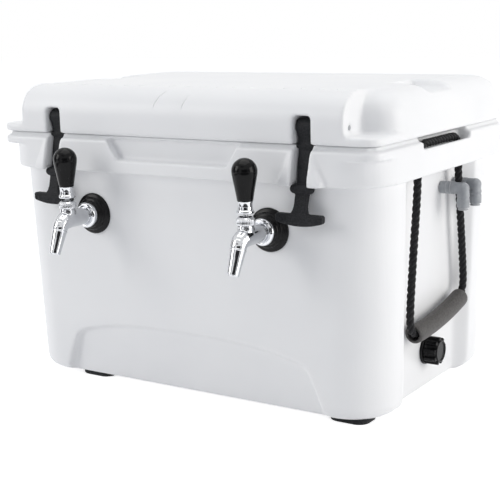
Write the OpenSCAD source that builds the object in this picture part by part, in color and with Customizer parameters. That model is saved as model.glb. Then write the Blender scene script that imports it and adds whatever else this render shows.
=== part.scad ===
// Jockey box: an insulated chest that chills drinks in coils packed in ice and
// pours them through two front taps. Origin at the middle of the footprint, on
// the floor. +X to the right of someone facing the taps, +Y to the back, +Z up.

/* [Chest] */
// Width of the chest over its rim
case_w = 604; // [560:1:680]
// Depth of the chest over its rim, without the taps
case_d = 414; // [380:1:460]
// Height of the rim's top above the floor
rim_top_z = 354; // [340:1:400]
// Height of the rim band
rim_h = 45; // [42:1:52]
// How far the rim stands out over the side walls
side_overhang = 6; // [4:1:8]
// How far the rim stands out over the front and back walls
front_overhang = 12; // [11:1:14]
// Draft of the outer walls, in degrees
wall_draft = 1.5; // [1:0.1:2.2]
// Corner radius of the chest in plan
corner_r = 62; // [54:1:64]
// Radius of the rounded bottom edges
bottom_r = 16; // [10:1:22]
// Corner radius of the chest's foot in plan
foot_plan_r = 48; // [44:1:54]
// Corner radius of the rim and the lid at the back
rear_corner_r = 30; // [24:1:40]
// Corner radius of the thin ears that square the rim and the lid at the front
ear_r = 24; // [16:1:34]
// Thickness of the ears
ear_t = 11; // [8:1:12]
// Moulded skin thickness
skin_t = 5; // [4:0.5:5.5]

/* [Ice tub] */
// Wall from the tub to the recessed side panel, at the rim
side_wall = 31; // [28:1:36]
// Wall from the tub to the outer front wall, at the rim
front_wall = 45; // [42:1:50]
// Thickness of the tub's floor
floor_t = 42; // [36:1:50]
// Draft of the tub's walls, in degrees
tub_draft = 1.6; // [1:0.1:2]
// Corner radius of the tub
tub_r = 34; // [28:1:40]

/* [Recessed panels] */
// Half width of the side recess at its flat panel
side_panel_hy = 88; // [86:1:94]
// Half width of the side recess's crisp foot
side_foot_hy = 104; // [98:1:110]
// Half width of the side recess at its mouth
side_mouth_hy = 112; // [108:1:120]
// Distance from the case's side plane in to the recessed side panel, at the rim
side_panel_in = 31; // [29:1:33]
// Draft of the recessed side panel, in degrees
side_panel_draft = 0.6; // [0.3:0.1:1]
// Half width of the front arch at its foot
arch_foot_hx = 216; // [205:1:222]
// Half width of the front arch where its corners start
arch_top_hx = 190; // [170:1:195]
// Height of the arch's crown above the floor
arch_crown_z = 93; // [80:1:110]
// Depth of the front arch panel at its crown
arch_in = 4.5; // [3:0.5:7]
// Depth of the front arch panel at its foot
arch_foot_in = 15; // [12:0.5:17]

/* [Rim details] */
// Half width of the front finger recess at the top
finger_top_hx = 106; // [90:1:115]
// Half width of the front finger recess at its floor
finger_floor_hx = 89; // [70:1:95]
// Height of the finger recess
finger_h = 27; // [20:1:32]
// Depth of the finger recess
finger_in = 13; // [8:1:15]
// How far the cheeks beside a latch channel stand out at their foot
cheek_out = 11; // [6:1:14]
// Width of one cheek
cheek_w = 20; // [14:1:24]

/* [Lid] */
// Gap between the rim and the lid, filled by the gasket
lid_gap = 6; // [5:0.5:7]
// Height of the lid above that gap
lid_h = 64; // [60:1:76]
// Half width of the lid's full-depth middle block
lid_block_hx = 258; // [252:1:262]
// Set-back of the lid's front corners behind the front plane
lid_corner_in = 44; // [38:1:52]
// Radius of the lid's rounded top edges
lid_edge_r = 38; // [34:1:40]
// Depth of the lid's underside plug in the tub
plug_h = 14; // [10:1:18]
// Clearance between the plug and the tub's wall
plug_gap = 4; // [3:0.5:6]
// Half width of the strap grooves across the lid's side edges
strap_groove_hy = 39; // [30:1:46]
// Depth of the strap grooves
strap_groove_h = 12; // [8:1:14]
// Width of the gasket's cross-section
gasket_w = 10; // [8:1:12]

/* [Rear hinge] */
// Distance of each hinge from the middle
hinge_x = 170; // [140:1:200]
// Width of one body knuckle
hinge_body_w = 60; // [50:1:70]
// Width of one lid knuckle
hinge_lid_w = 30; // [24:1:36]
// Radius of the knuckles
knuckle_r = 10; // [9:0.5:11]
// Radius of the hinge pins
hinge_pin_r = 4; // [3:0.5:5]
// Gap between neighbouring knuckles
knuckle_gap = 1; // [0.8:0.1:1.5]

/* [Latches] */
// Distance of each latch from the middle
latch_x = 200; // [192:1:210]
// Width of the latch's loop and of its pocket, less the clearance
latch_loop_w = 22; // [18:1:24]
// Clearance of the loop in its pocket, each side
latch_gap = 1.5; // [1:0.25:2]
// Width of the strap in the channel
strap_w = 17; // [14:1:19]
// Thickness of the strap
strap_t = 7; // [6:0.5:8]
// Radius of the loop round the pin
loop_r = 10; // [9:0.5:10.5]
// Radius of the latch pin
latch_pin_r = 3; // [2.5:0.25:3.5]
// Depth of the pin's axis behind the lid's front plane
latch_pin_in = 18; // [17:0.5:19]
// Height of the pin's axis above the lid's lower edge
latch_pin_z = 21; // [19:0.5:23]
// Width of the T-handle
tee_w = 66; // [56:1:72]
// Height of the T-handle's bar
tee_h = 13; // [10:0.5:15]
// Width of the locking bulb under the cheeks
bulb_w = 34; // [30:1:36]

/* [Taps] */
// Distance of each tap from the middle
tap_x = 144; // [138:1:150]
// Height of the tap's barrel axis
tap_z = 249; // [244:1:256]
// Radius of the black shank flange
flange_r = 28.5; // [26:0.5:30]
// Radius of the shank
shank_r = 11; // [10.5:0.1:11.5]
// Radius of the drink passage in the shank
passage_r = 4; // [3:0.25:5]
// Distance of the handle's axis in front of the front wall
handle_out = 53.5; // [51:0.5:57]
// Radius of the tap's barrel
barrel_r = 12; // [11.8:0.1:13]
// Greatest radius of the tap handle
knob_r = 16; // [14:0.1:18]
// Length of the tap handle
knob_h = 52.5; // [45:0.5:60]
// Radius of the nozzle's outlet
outlet_r = 5.5; // [4.5:0.25:6]
// Length of the nozzle
nozzle_l = 33; // [28:0.5:38]
// Tilt of the nozzle from upright, in degrees
nozzle_tilt = 23; // [18:0.5:27]

/* [Inlets] */
// Place of the front inlet along the side
inlet_1_y = 46; // [44:0.5:47]
// Place of the back inlet along the side
inlet_2_y = 88; // [86:0.5:90]
// Height of the inlets
inlet_z = 278; // [274:1:281]
// Radius of the elbow's arms
elbow_r = 8.5; // [8:0.1:9]
// Distance of the elbow's drop arm from the panel
elbow_out = 33; // [32:0.5:36]
// Length of the elbow's drop arm
elbow_drop = 26; // [24:0.5:30]
// Radius of the tube that pushes into the elbow
tube_r = 4.8; // [4.7:0.1:5]

/* [Drain] */
// Height of the drain's axis
drain_z = 60; // [57:0.5:64]
// Radius of the drain fitting's tube
drain_r = 11; // [9:0.5:12]
// Radius of the drain cap over its ribs
cap_r = 19; // [17:0.5:20]
// Length of the drain cap
cap_l = 20; // [16:0.5:24]
// Number of ribs round the drain cap
cap_ribs = 9; // [6:1:12]

/* [Rope handles] */
// Radius of the braided rope
rope_r = 5.5; // [5:0.1:5.8]
// Radius of the holes that the rope passes through
rope_hole_r = 7; // [6.8:0.1:7.4]
// Distance of the rope holes from the middle of the side
rope_y = 65; // [64.5:0.1:65.5]
// Radius of the tube grip
grip_r = 12.5; // [12:0.1:13]
// Half length of the tube grip
grip_hl = 76; // [74:0.5:77]
// How much lower the grip's front end hangs than its middle
grip_tilt = 9; // [0:0.5:10]

/* [Chilling coils] */
// Radius of each coil at the middle of its tube
coil_r = 84; // [76:1:92]
// Radius of the coil's tube
coil_tube_r = 4; // [3.5:0.1:4.5]
// Rise of the coil from loop to loop
coil_pitch = 12; // [11:0.25:13]
// Number of loops in each coil
coil_loops = 9; // [6:1:11]
// Distance of each coil's axis from the middle
coil_x = 108; // [100:1:118]

/* [Feet] */
// Height of the rubber feet
foot_h = 7; // [6:0.5:10]
// Width of a foot
foot_w = 56; // [48:1:60]
// Depth of a foot
foot_d = 44; // [40:1:48]
// Distance of the left feet's middles in from the case's left side plane
foot_in_left = 121; // [70:1:130]
// Distance of the right feet's middles in from the case's right side plane
foot_in_right = 66; // [66:1:130]
// Distance of the feet's middles in from the case's front and back planes
foot_in_y = 61; // [61:1:71]

/* [Hidden] */

$fn = 48;
hull_fn = 32;
// How far the lid's rounded corners lie inside its block and ears
pillow_in = 1.2;
foot_screw_in = 15;
foot_corner_r = 16;
// How far drilled holes run on past the walls
bore_over = 30;
// Gap between touching pieces that turn or slide on each other
run_gap = 0.05;

white = [0.93, 0.93, 0.92];
black = [0.05, 0.05, 0.055];
chrome = [0.78, 0.79, 0.8];
steel = [0.66, 0.67, 0.69];
grey = [0.55, 0.56, 0.58];
foam_yellow = [0.9, 0.82, 0.6];

hx = case_w / 2;
hy = case_d / 2;
rim_z = rim_top_z - rim_h;
wall_hx = hx - side_overhang;
wall_hy = hy - front_overhang;
function foot_x(s) = s < 0 ? foot_in_left - hx : hx - foot_in_right;
foot_y = hy - foot_in_y;
tub_hx = hx - side_panel_in - side_wall;
tub_hy = wall_hy - front_wall;
tub_z = foot_h + floor_t;
foam_hx = hx - side_panel_in - skin_t;
foam_hy = wall_hy - arch_foot_in - skin_t;
lid_z = rim_top_z + lid_gap;
lid_top_z = lid_z + lid_h;

// Half width of a drafted wall at height z, given its half width at the rim
function drafted(at_rim, draft, z) = at_rim - (rim_z - z) * tan(draft);

panel_x = drafted(hx - side_panel_in, side_panel_draft, inlet_z);
drain_panel_x = drafted(hx - side_panel_in, side_panel_draft, drain_z);
// The side recess's depth under the rim, seen from the case's side plane
recess_cut = case_w;
side_foot_h = 64;

// Latch line: the pin, the bulb under the cheeks, and the T-handle, in Y and Z
pin_y = -hy + latch_pin_in;
pin_z = lid_z + latch_pin_z;
bulb_r = 6.5;
bulb_gap = 1.2;
bulb_y = -hy + 5;
bulb_z = rim_z - bulb_gap - bulb_r;
tee_y = -hy - 5;
tee_z = bulb_z - 24;
channel_in = 17;
pocket_w = latch_loop_w + 2 * latch_gap;
channel_w = strap_w + 2 * latch_gap + 3;
pocket_in = latch_pin_in + loop_r + latch_gap;

// Rear hinge axis, in Y and Z
hinge_y = hy + knuckle_r;
hinge_z = rim_top_z + lid_gap / 2;
hinge_w = hinge_body_w + 2 * (hinge_lid_w + knuckle_gap);

// Tap stations along Y, from the wall outwards
wall_at_tap = drafted(wall_hy, wall_draft, tap_z);
tap_face_y = -(wall_at_tap - 2);
inner_face_y = -(drafted(tub_hy, tub_draft, tap_z) + 2);
flange_t = 13;
coupling_t = 10;
shank_tip_y = tap_face_y - flange_t - 4;
body_rear_y = shank_tip_y - 0.2;
handle_y = -(wall_at_tap + handle_out);
tail_y = inner_face_y + 28;
pivot_z = tap_z + 16;
collar_z = tap_z + 15.5;
ferrule_z = pivot_z + 13.6;
ferrule_h = 15.5;
knob_z = ferrule_z + ferrule_h;
shaft_r = 5.4;
lever_finger = 14.5;
lever_stem_r = 3;
shaft_slot = 7.2;
chamber_in = 5.5;
collar_in_r = 8.4;
seam = [handle_y - 18, tap_z - 12];

inlet_tail = 22;
inlet_inner_x = drafted(tub_hx, tub_draft, inlet_z) - inlet_tail;
drain_inner_x = drafted(tub_hx, tub_draft, drain_z);
elbow_x = panel_x + elbow_out;
elbow_gap = 0.5;
collet_r = tube_r + 1.5;
// How far the collet's face stands out of the elbow, rim and travel together
collet_out = 3.5;

rope_x = hx - 14;
rope_pivot_z = rim_z - 7;
grip_z = 109;
slot_hy = rope_y + rope_hole_r + 3;
// Route of one rope half below the rim, as [Y, Z], from the grip's middle to the rim
rope_half = [[0, grip_z], [25, grip_z], [50, grip_z], [64, grip_z], [72, grip_z + 1.5], [79, grip_z + 6],
    [84, grip_z + 13], [86, grip_z + 23], [85, grip_z + 41], [82, rim_z - 134], [78, rim_z - 104],
    [rope_y + 8.5, rim_z - 74], [rope_y + 4, rim_z - 44], [rope_y + 1, rim_z - 21], [rope_y, rope_pivot_z - 0.3]];
// A point of the rope in front (side -1) or at the back (side 1), hung out of level by the grip's tilt
function hang(p, side) = [rope_x, side * p[0],
    p[1] + side * grip_tilt * p[0] / grip_hl * min(1, (rope_pivot_z - p[1]) / (rope_pivot_z - grip_z))];
// Route of one rope half inside the rim, as [Y, Z], from the hole's mouth to the middle
lead_z = rim_top_z - 6;
lead_half = [[rope_y, rim_z - 1], [rope_y, rim_z + 9], [rope_y, lead_z - 22], [rope_y - 1.7, lead_z - 13.6],
    [rope_y - 6.4, lead_z - 6.4], [rope_y - 13.6, lead_z - 1.7], [rope_y - 22, lead_z], [20, lead_z], [0, lead_z]];

coil_floor_z = tub_z + coil_tube_r;
coil_tail_in = 24;
coil_start = -50;
hose_r = 4.8;
coil_tail_z = coil_floor_z + coil_loops * coil_pitch + 34;
coil_rings = 24;
coil_sides = 6;
coil_bend_r = 12;

function unit(v) = v / norm(v);
function path_dir(p, i) = unit(p[min(i + 1, len(p) - 1)] - p[max(i - 1, 0)]);
// Normals carried along a path without twist
function path_normals(p) = [
    for (i = 0, n = start_normal(path_dir(p, 0)); i < len(p);
        i = i + 1, n = i < len(p) ? carry(n, path_dir(p, i)) : n) n];
function start_normal(t) = unit(cross(t, abs(t[0]) < 0.8 ? [1, 0, 0] : [0, 1, 0]));
function carry(n, t) = unit(n - (n * t) * t);
function ring(c, t, n, r, sides) = [
    for (k = [0:sides - 1]) c + r * (cos(360 * k / sides) * n + sin(360 * k / sides) * cross(t, n))];

// A round tube along a path: one closed surface of triangles
module sweep(p, r, sides) {
    n = path_normals(p);
    last = (len(p) - 1) * sides;
    points = [for (i = [0:len(p) - 1]) each ring(p[i], path_dir(p, i), n[i], r, sides)];
    walls = [for (i = [0:len(p) - 2], k = [0:sides - 1]) let (
        a = i * sides + k,
        b = i * sides + (k + 1) % sides)
        each [[a, b + sides, b], [a, a + sides, b + sides]]];
    first_cap = [for (k = [1:sides - 2]) [0, k, k + 1]];
    last_cap = [for (k = [1:sides - 2]) [last, last + k + 1, last + k]];
    polyhedron(points, concat(walls, first_cap, last_cap), convexity = 10);
}

// Points of an arc in a plane, from angle a to angle b
function arc(c, r, a, b, steps) = [
    for (i = [0:steps]) c + r * [cos(a + (b - a) * i / steps), sin(a + (b - a) * i / steps)]];

module rounded_plate(w, d, h, r) {
    linear_extrude(h) {
        square([w - 2 * r, d], center = true);
        square([w, d - 2 * r], center = true);
        for (sx = [-1, 1], sy = [-1, 1]) translate([sx * (w / 2 - r), sy * (d / 2 - r)]) circle(r);
    }
}

// Plate with front corners of radius r and rear corners of radius q
module case_plate(h, r, q) {
    linear_extrude(h) {
        translate([-hx, -hy + r]) square([case_w, case_d - r - q]);
        translate([-hx + r, -hy]) square([case_w - 2 * r, r + 1]);
        translate([-hx + q, hy - q - 1]) square([case_w - 2 * q, q + 1]);
        for (s = [-1, 1]) {
            translate([s * (hx - r), -hy + r]) circle(r);
            translate([s * (hx - q), hy - q]) circle(q);
        }
    }
}

// Drafted tub with rounded corners, and a rounded foot with its own corner radius in plan
module drafted_tub(top_hx, top_hy, draft, z0, z1, top_r, foot_r, plan_r) {
    low_hx = drafted(top_hx, draft, z0 + foot_r);
    low_hy = drafted(top_hy, draft, z0 + foot_r);
    up_hx = drafted(top_hx, draft, z1);
    up_hy = drafted(top_hy, draft, z1);
    hull() {
        for (sx = [-1, 1], sy = [-1, 1]) {
            for (b = [0:22.5:90])
                translate([sx * (low_hx - plan_r), sy * (low_hy - plan_r), z0 + foot_r * (1 - sin(b))])
                    cylinder(h = 0.5, r = plan_r - foot_r * (1 - cos(b)), $fn = hull_fn);
            translate([sx * (up_hx - top_r), sy * (up_hy - top_r), z1 - 1])
                cylinder(h = 1, r = top_r, $fn = hull_fn);
        }
    }
}

module along_x(x, y, z, l) {
    translate([x, y, z]) rotate([0, 90, 0]) children();
}

module yz_slab(points, x0, x1) {
    translate([x0, 0, 0]) rotate([90, 0, 90]) linear_extrude(x1 - x0) polygon(points);
}

module xz_slab(points, y0, y1) {
    translate([0, y1, 0]) rotate([90, 0, 0]) linear_extrude(y1 - y0) polygon(points);
}

// Outline of the front arch panel, in X and Z, from the crown out to the right foot
arch_r = 28;
arch_lean = 23;
arch_rise = 7;
arch_drop = 20;
arch_half = concat(
    [for (k = [1:7]) [arch_top_hx * k / 8, arch_crown_z - arch_drop * (k / 8) ^ 3]],
    arc([arch_top_hx - 20, arch_crown_z - 15 - arch_r], arch_r, 90 - arch_rise, arch_lean, 6),
    [[arch_foot_hx, foot_h]]);
arch_points = concat(
    [for (i = [len(arch_half) - 1:-1:0]) [-arch_half[i][0], arch_half[i][1]]],
    [[0, arch_crown_z]],
    arch_half);

// Slab behind (s = 1) or in front (s = -1) of the sloping front arch panel
module arch_slab(s) {
    foot_y = arch_foot_in - drafted(wall_hy, wall_draft, foot_h);
    crown_y = arch_in - drafted(wall_hy, wall_draft, arch_crown_z);
    top_y = crown_y + (crown_y - foot_y) * 0.2;
    top_z = arch_crown_z + (arch_crown_z - foot_h) * 0.2;
    reach = s > 0 ? 60 : -80;
    intersection() {
        xz_slab(arch_points, -hy - 60, 0);
        yz_slab([[foot_y, foot_h], [foot_y + reach, foot_h], [top_y + reach, top_z], [top_y, top_z]], -hx, hx);
    }
}

// Side recess: the space in front of the recessed panel, on the +X side
module side_recess() {
    px = hx - side_panel_in;
    low_x = drafted(px, side_panel_draft, foot_h);
    slope = side_overhang > 0 ? wall_hx - px : side_panel_in;
    intersection() {
        yz_slab([[-side_mouth_hy - 60, foot_h - 1], [side_mouth_hy + 60, foot_h - 1],
            [side_mouth_hy + 60, rim_z], [-side_mouth_hy - 60, rim_z]], 0, recess_cut);
        xz_slab([[low_x, foot_h - 1], [recess_cut, foot_h - 1], [recess_cut, rim_z], [px, rim_z]],
            -case_d, case_d);
        translate([0, 0, foot_h - 2]) linear_extrude(rim_z - foot_h + 2)
            polygon([[low_x - 1, -side_panel_hy], [px, -side_panel_hy],
                [px + slope, -side_mouth_hy], [recess_cut, -side_mouth_hy - 12],
                [recess_cut, side_mouth_hy + 12], [px + slope, side_mouth_hy],
                [px, side_panel_hy], [low_x - 1, side_panel_hy]]);
    }
}

// Solid behind the recessed side panel, which keeps its foot crisp
module side_panel_foot() {
    low_x = drafted(hx - side_panel_in, side_panel_draft, foot_h);
    intersection() {
        xz_slab([[low_x - 60, foot_h], [low_x, foot_h],
            [hx - side_panel_in, rim_z], [hx - side_panel_in - 60, rim_z]], -side_foot_hy, side_foot_hy);
        yz_slab([[-side_foot_hy, foot_h], [side_foot_hy, foot_h], [side_panel_hy, foot_h + side_foot_h],
            [-side_panel_hy, foot_h + side_foot_h]], 0, hx);
    }
}

module cheeks() {
    for (sx = [-1, 1], side = [-1, 1]) {
        x0 = sx * latch_x + (side > 0 ? channel_w / 2 : -channel_w / 2 - cheek_w);
        yz_slab([[-hy - cheek_out, rim_z], [-hy - cheek_out, rim_z + 6], [-hy - cheek_out + 3, rim_z + 18],
            [-hy, rim_top_z - 6], [-hy + 1, rim_top_z - 6], [-hy + 1, rim_z]], x0, x0 + cheek_w);
    }
}

module body_outer() {
    drafted_tub(wall_hx, wall_hy, wall_draft, foot_h, rim_z + 2, corner_r, bottom_r, foot_plan_r);
    translate([0, 0, rim_z]) case_plate(rim_h - 1, corner_r, rear_corner_r);
    translate([0, 0, rim_top_z - ear_t]) case_plate(ear_t, ear_r, rear_corner_r);
    cheeks();
}

module foam_outer() {
    drafted_tub(foam_hx, foam_hy, side_panel_draft + 1.2, foot_h + skin_t, rim_top_z - skin_t,
        corner_r - skin_t, bottom_r, foot_plan_r - skin_t);
}

module tub_space(grow) {
    drafted_tub(tub_hx + grow, tub_hy + grow, tub_draft, tub_z - grow, rim_top_z + 1, tub_r + grow,
        tub_r - 6 + grow, tub_r - 5 + grow);
}

// Everything drilled through the walls
module wall_bores() {
    for (sx = [-1, 1]) {
        translate([sx * tap_x, -hy, tap_z]) rotate([-90, 0, 0])
            cylinder(h = hy, r = shank_r + run_gap * 4);
        translate([sx * tap_x, tap_face_y, tap_z]) rotate([90, 0, 0]) cylinder(h = 30, r = flange_r + 0.5);
        translate([sx * tap_x, inner_face_y, tap_z]) rotate([-90, 0, 0]) cylinder(h = 30, r = 21);
        for (sy = [-1, 1]) translate([sx * rope_x, sy * rope_y, rim_z - 1])
            cylinder(h = rim_h, r = rope_hole_r);
    }
    for (y = [inlet_1_y, inlet_2_y]) {
        along_x(panel_x - side_wall - bore_over, y, inlet_z)
            cylinder(h = side_wall + 2 * bore_over, r = tube_r + run_gap * 4);
        along_x(drafted(tub_hx, tub_draft, inlet_z) - 20, y, inlet_z) cylinder(h = 21.5, r = 11);
        along_x(panel_x, y, inlet_z) cylinder(h = 40, r = elbow_r + 1);
    }
    along_x(drain_inner_x - bore_over, 0, drain_z)
        cylinder(h = drain_panel_x - drain_inner_x + 2 * bore_over, r = drain_r + run_gap * 4);
    along_x(drain_inner_x - bore_over, 0, drain_z) cylinder(h = bore_over + 2, r = drain_r + 6.5);
    for (sx = [-1, 1], sy = [-1, 1]) translate([foot_x(sx), sy * foot_y, foot_h - 1])
        cylinder(h = foot_screw_in + 4, r = 2.5);
}

module rope_slots() {
    for (sx = [-1, 1]) {
        translate([sx > 0 ? rope_x - rope_hole_r : -hx - 1, -slot_hy, rim_top_z - 10])
            cube([hx - rope_x + rope_hole_r + 1, 2 * slot_hy, 20]);
        translate([sx * rope_x - rope_hole_r, -slot_hy, rim_top_z - 22])
            cube([2 * rope_hole_r, 2 * slot_hy, 30]);
    }
}

module latch_channels() {
    for (sx = [-1, 1]) {
        translate([sx * latch_x - channel_w / 2, -hy - 30, rim_z - 1])
            cube([channel_w, 30 + channel_in, rim_h + 2]);
    }
}

module finger_recess() {
    xz_slab([[-finger_top_hx - 1, rim_top_z + 1], [-finger_floor_hx, rim_top_z - finger_h],
        [finger_floor_hx, rim_top_z - finger_h], [finger_top_hx + 1, rim_top_z + 1]],
        -hy - 5, -hy + finger_in);
}

module body_knuckles() {
    for (sx = [-1, 1]) {
        x0 = sx * hinge_x - hinge_body_w / 2;
        along_x(x0, hinge_y, hinge_z) cylinder(h = hinge_body_w, r = knuckle_r);
        yz_slab([[hy - 2, rim_z + 4], [hy + 1, rim_z + 4], [hinge_y + knuckle_r, hinge_z - 6],
            [hinge_y + knuckle_r, hinge_z], [hinge_y - 6, hinge_z], [hy - 1, rim_top_z - 1],
            [hy - 2, rim_top_z - 1]], x0, x0 + hinge_body_w);
    }
}

module hinge_bores() {
    for (sx = [-1, 1]) along_x(sx * hinge_x - hinge_w / 2 - 1, hinge_y, hinge_z)
        cylinder(h = hinge_w + 2, r = hinge_pin_r + run_gap);
}

module body_shell() {
    color(white) difference() {
        union() {
            difference() {
                body_outer();
                arch_slab(-1);
                side_recess();
                mirror([1, 0, 0]) side_recess();
            }
            arch_slab(1);
            side_panel_foot();
            mirror([1, 0, 0]) side_panel_foot();
            body_knuckles();
        }
        difference() {
            foam_outer();
            tub_space(skin_t);
        }
        tub_space(0);
        wall_bores();
        rope_slots();
        latch_channels();
        finger_recess();
        hinge_bores();
    }
}

module body_foam() {
    color(foam_yellow) difference() {
        foam_outer();
        tub_space(skin_t);
        wall_bores();
    }
}

module foot(sx, sy) {
    color(black) translate([foot_x(sx), sy * foot_y, 0]) difference() {
        rounded_plate(foot_w, foot_d, foot_h, foot_corner_r);
        translate([0, 0, -1]) cylinder(h = foot_h + 2, r = 2.7);
        translate([0, 0, -1]) cylinder(h = 5, r = 6);
    }
}

module foot_screws() {
    color(steel) for (sx = [-1, 1], sy = [-1, 1]) translate([foot_x(sx), sy * foot_y, 1.5]) {
        cylinder(h = 2.5, r = 5);
        cylinder(h = foot_h + foot_screw_in, r = 2.4);
    }
}

module rope_lead(s) {
    back = [for (p = lead_half) [rope_x, p[0], p[1]]];
    front = [for (i = [len(lead_half) - 2:-1:0]) [rope_x, -lead_half[i][0], lead_half[i][1]]];
    color(black) mirror([s < 0 ? 1 : 0, 0, 0]) sweep(concat(back, front), rope_r, 8);
}

module rope(s) {
    front = [for (i = [len(rope_half) - 1:-1:1]) hang(rope_half[i], -1)];
    back = [for (p = rope_half) hang(p, 1)];
    color(black) mirror([s < 0 ? 1 : 0, 0, 0]) sweep(concat(front, back), rope_r, 8);
}

module grip(s) {
    color([0.3, 0.29, 0.28]) translate([s * rope_x, 0, grip_z])
        rotate([90 + atan(grip_tilt / grip_hl), 0, 0]) rotate_extrude() polygon([[rope_hole_r, -54],
            [grip_r - 1, -grip_hl], [grip_r, -grip_hl + 1],
            [grip_r, grip_hl - 1], [grip_r - 1, grip_hl], [rope_hole_r, 54]]);
}

// Drain, on the +X side
module drain_fitting() {
    color(black) difference() {
        union() {
            along_x(drain_inner_x - 12, 0, drain_z) cylinder(h = drain_panel_x - drain_inner_x + 26, r = drain_r);
            along_x(drain_panel_x + 2, 0, drain_z) cylinder(h = 4, r = cap_r + 1.5);
        }
        along_x(drain_inner_x - 13, 0, drain_z) cylinder(h = drain_panel_x - drain_inner_x + 28, r = drain_r - 3);
    }
}

module drain_gasket() {
    color(grey) difference() {
        along_x(drain_panel_x + 0.4, 0, drain_z) cylinder(h = 1.6, r = cap_r - 1);
        along_x(drain_panel_x - 1, 0, drain_z) cylinder(h = 6, r = drain_r + run_gap);
    }
}

module drain_nut() {
    color(black) difference() {
        along_x(drain_inner_x - 6, 0, drain_z) cylinder(h = 8, r = drain_r + 6, $fn = 6);
        along_x(drain_inner_x - 20, 0, drain_z) cylinder(h = 40, r = drain_r + run_gap);
    }
}

module drain_cap() {
    x0 = drain_panel_x + 6.4;
    color(black) difference() {
        union() {
            along_x(x0, 0, drain_z) cylinder(h = cap_l, r = cap_r - 3);
            for (k = [0:cap_ribs - 1]) translate([x0, 0, drain_z]) rotate([360 * k / cap_ribs, 0, 0])
                translate([0, -3, cap_r - 6]) cube([cap_l - 2, 6, 6]);
        }
        along_x(x0 - 1, 0, drain_z) cylinder(h = cap_l - 5, r = drain_r + 0.4);
        along_x(x0 + cap_l - 1.5, 0, drain_z) cylinder(h = 3, r = cap_r - 6);
    }
}

// Inlets, on the +X side
module inlet_stem(y) {
    color(grey) difference() {
        along_x(inlet_inner_x, y, inlet_z) cylinder(h = elbow_x - 14 - inlet_inner_x, r = tube_r);
        along_x(inlet_inner_x - 1, y, inlet_z) cylinder(h = elbow_x - inlet_inner_x, r = tube_r - 1.6);
    }
}

module inlet_nut(y) {
    x1 = drafted(tub_hx, tub_draft, inlet_z) + 1.2;
    color(grey) difference() {
        along_x(x1 - 8, y, inlet_z) cylinder(h = 8, r = 10);
        along_x(x1 - 20, y, inlet_z) cylinder(h = 40, r = tube_r + run_gap);
    }
}

module inlet_elbow(y) {
    x0 = panel_x + elbow_gap;
    color(grey) difference() {
        union() {
            along_x(x0, y, inlet_z) cylinder(h = elbow_x - x0, r = elbow_r);
            translate([elbow_x, y, inlet_z]) sphere(elbow_r);
            translate([elbow_x, y, inlet_z - elbow_drop]) cylinder(h = elbow_drop, r = elbow_r);
        }
        along_x(x0 - 1, y, inlet_z) cylinder(h = elbow_x - 13.5 - x0 + 1, r = tube_r + run_gap);
        along_x(x0, y, inlet_z) cylinder(h = elbow_x - x0, r = tube_r - 1.6);
        translate([elbow_x, y, inlet_z - elbow_drop - 1]) cylinder(h = 18, r = tube_r + 0.1);
        translate([elbow_x, y, inlet_z - elbow_drop - 1]) cylinder(h = elbow_drop, r = tube_r - 1.6);
        translate([elbow_x, y, inlet_z - elbow_drop - 1]) cylinder(h = 7, r = collet_r + run_gap);
    }
}

module collet(y) {
    color([0.75, 0.76, 0.77]) translate([elbow_x, y, inlet_z - elbow_drop - collet_out]) difference() {
        union() {
            cylinder(h = 1.5, r = elbow_r - 1.5);
            cylinder(h = 6, r = collet_r);
        }
        translate([0, 0, -1]) cylinder(h = 9, r = tube_r + 0.1);
    }
}

// Taps. Each is written at X = 0 and moved to its place.
module at_tap(s) {
    translate([s * tap_x, 0, 0]) children();
}

module along_y(y, z) {
    translate([0, y, z]) rotate([-90, 0, 0]) children();
}

module shank() {
    color(chrome) difference() {
        along_y(shank_tip_y, tap_z) cylinder(h = tail_y - shank_tip_y, r = shank_r);
        along_y(shank_tip_y - 1, tap_z) cylinder(h = tail_y - shank_tip_y + 2, r = passage_r);
        along_y(shank_tip_y - 1, tap_z) cylinder(h = 9, r = 9.3);
    }
}

module shank_flange() {
    color(black) along_y(tap_face_y - flange_t, tap_z) rotate_extrude()
        polygon([[shank_r + run_gap, flange_t], [flange_r, flange_t], [flange_r, flange_t - 3.5],
            [flange_r - 2, flange_t - 5.5], [22.5, flange_t - 6.5], [22, flange_t - 9], [20.5, flange_t - 10],
            [18.5, flange_t - 10.5], [17.5, 0], [shank_r + run_gap, 0]]);
}

module shank_nut() {
    color(chrome) difference() {
        along_y(inner_face_y, tap_z) cylinder(h = 9, r = 20, $fn = 6);
        along_y(inner_face_y - 1, tap_z) cylinder(h = 12, r = shank_r + run_gap);
    }
}

module coupling_nut() {
    y1 = tap_face_y - flange_t;
    y0 = y1 - coupling_t;
    color(chrome) along_y(y0, tap_z) rotate_extrude()
        polygon([[barrel_r + run_gap, 0], [15.5, 0], [17.5, 2], [17.5, coupling_t], [shank_r + run_gap, coupling_t],
            [shank_r + run_gap, body_rear_y - y0], [barrel_r + run_gap, body_rear_y - y0]]);
}

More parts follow.
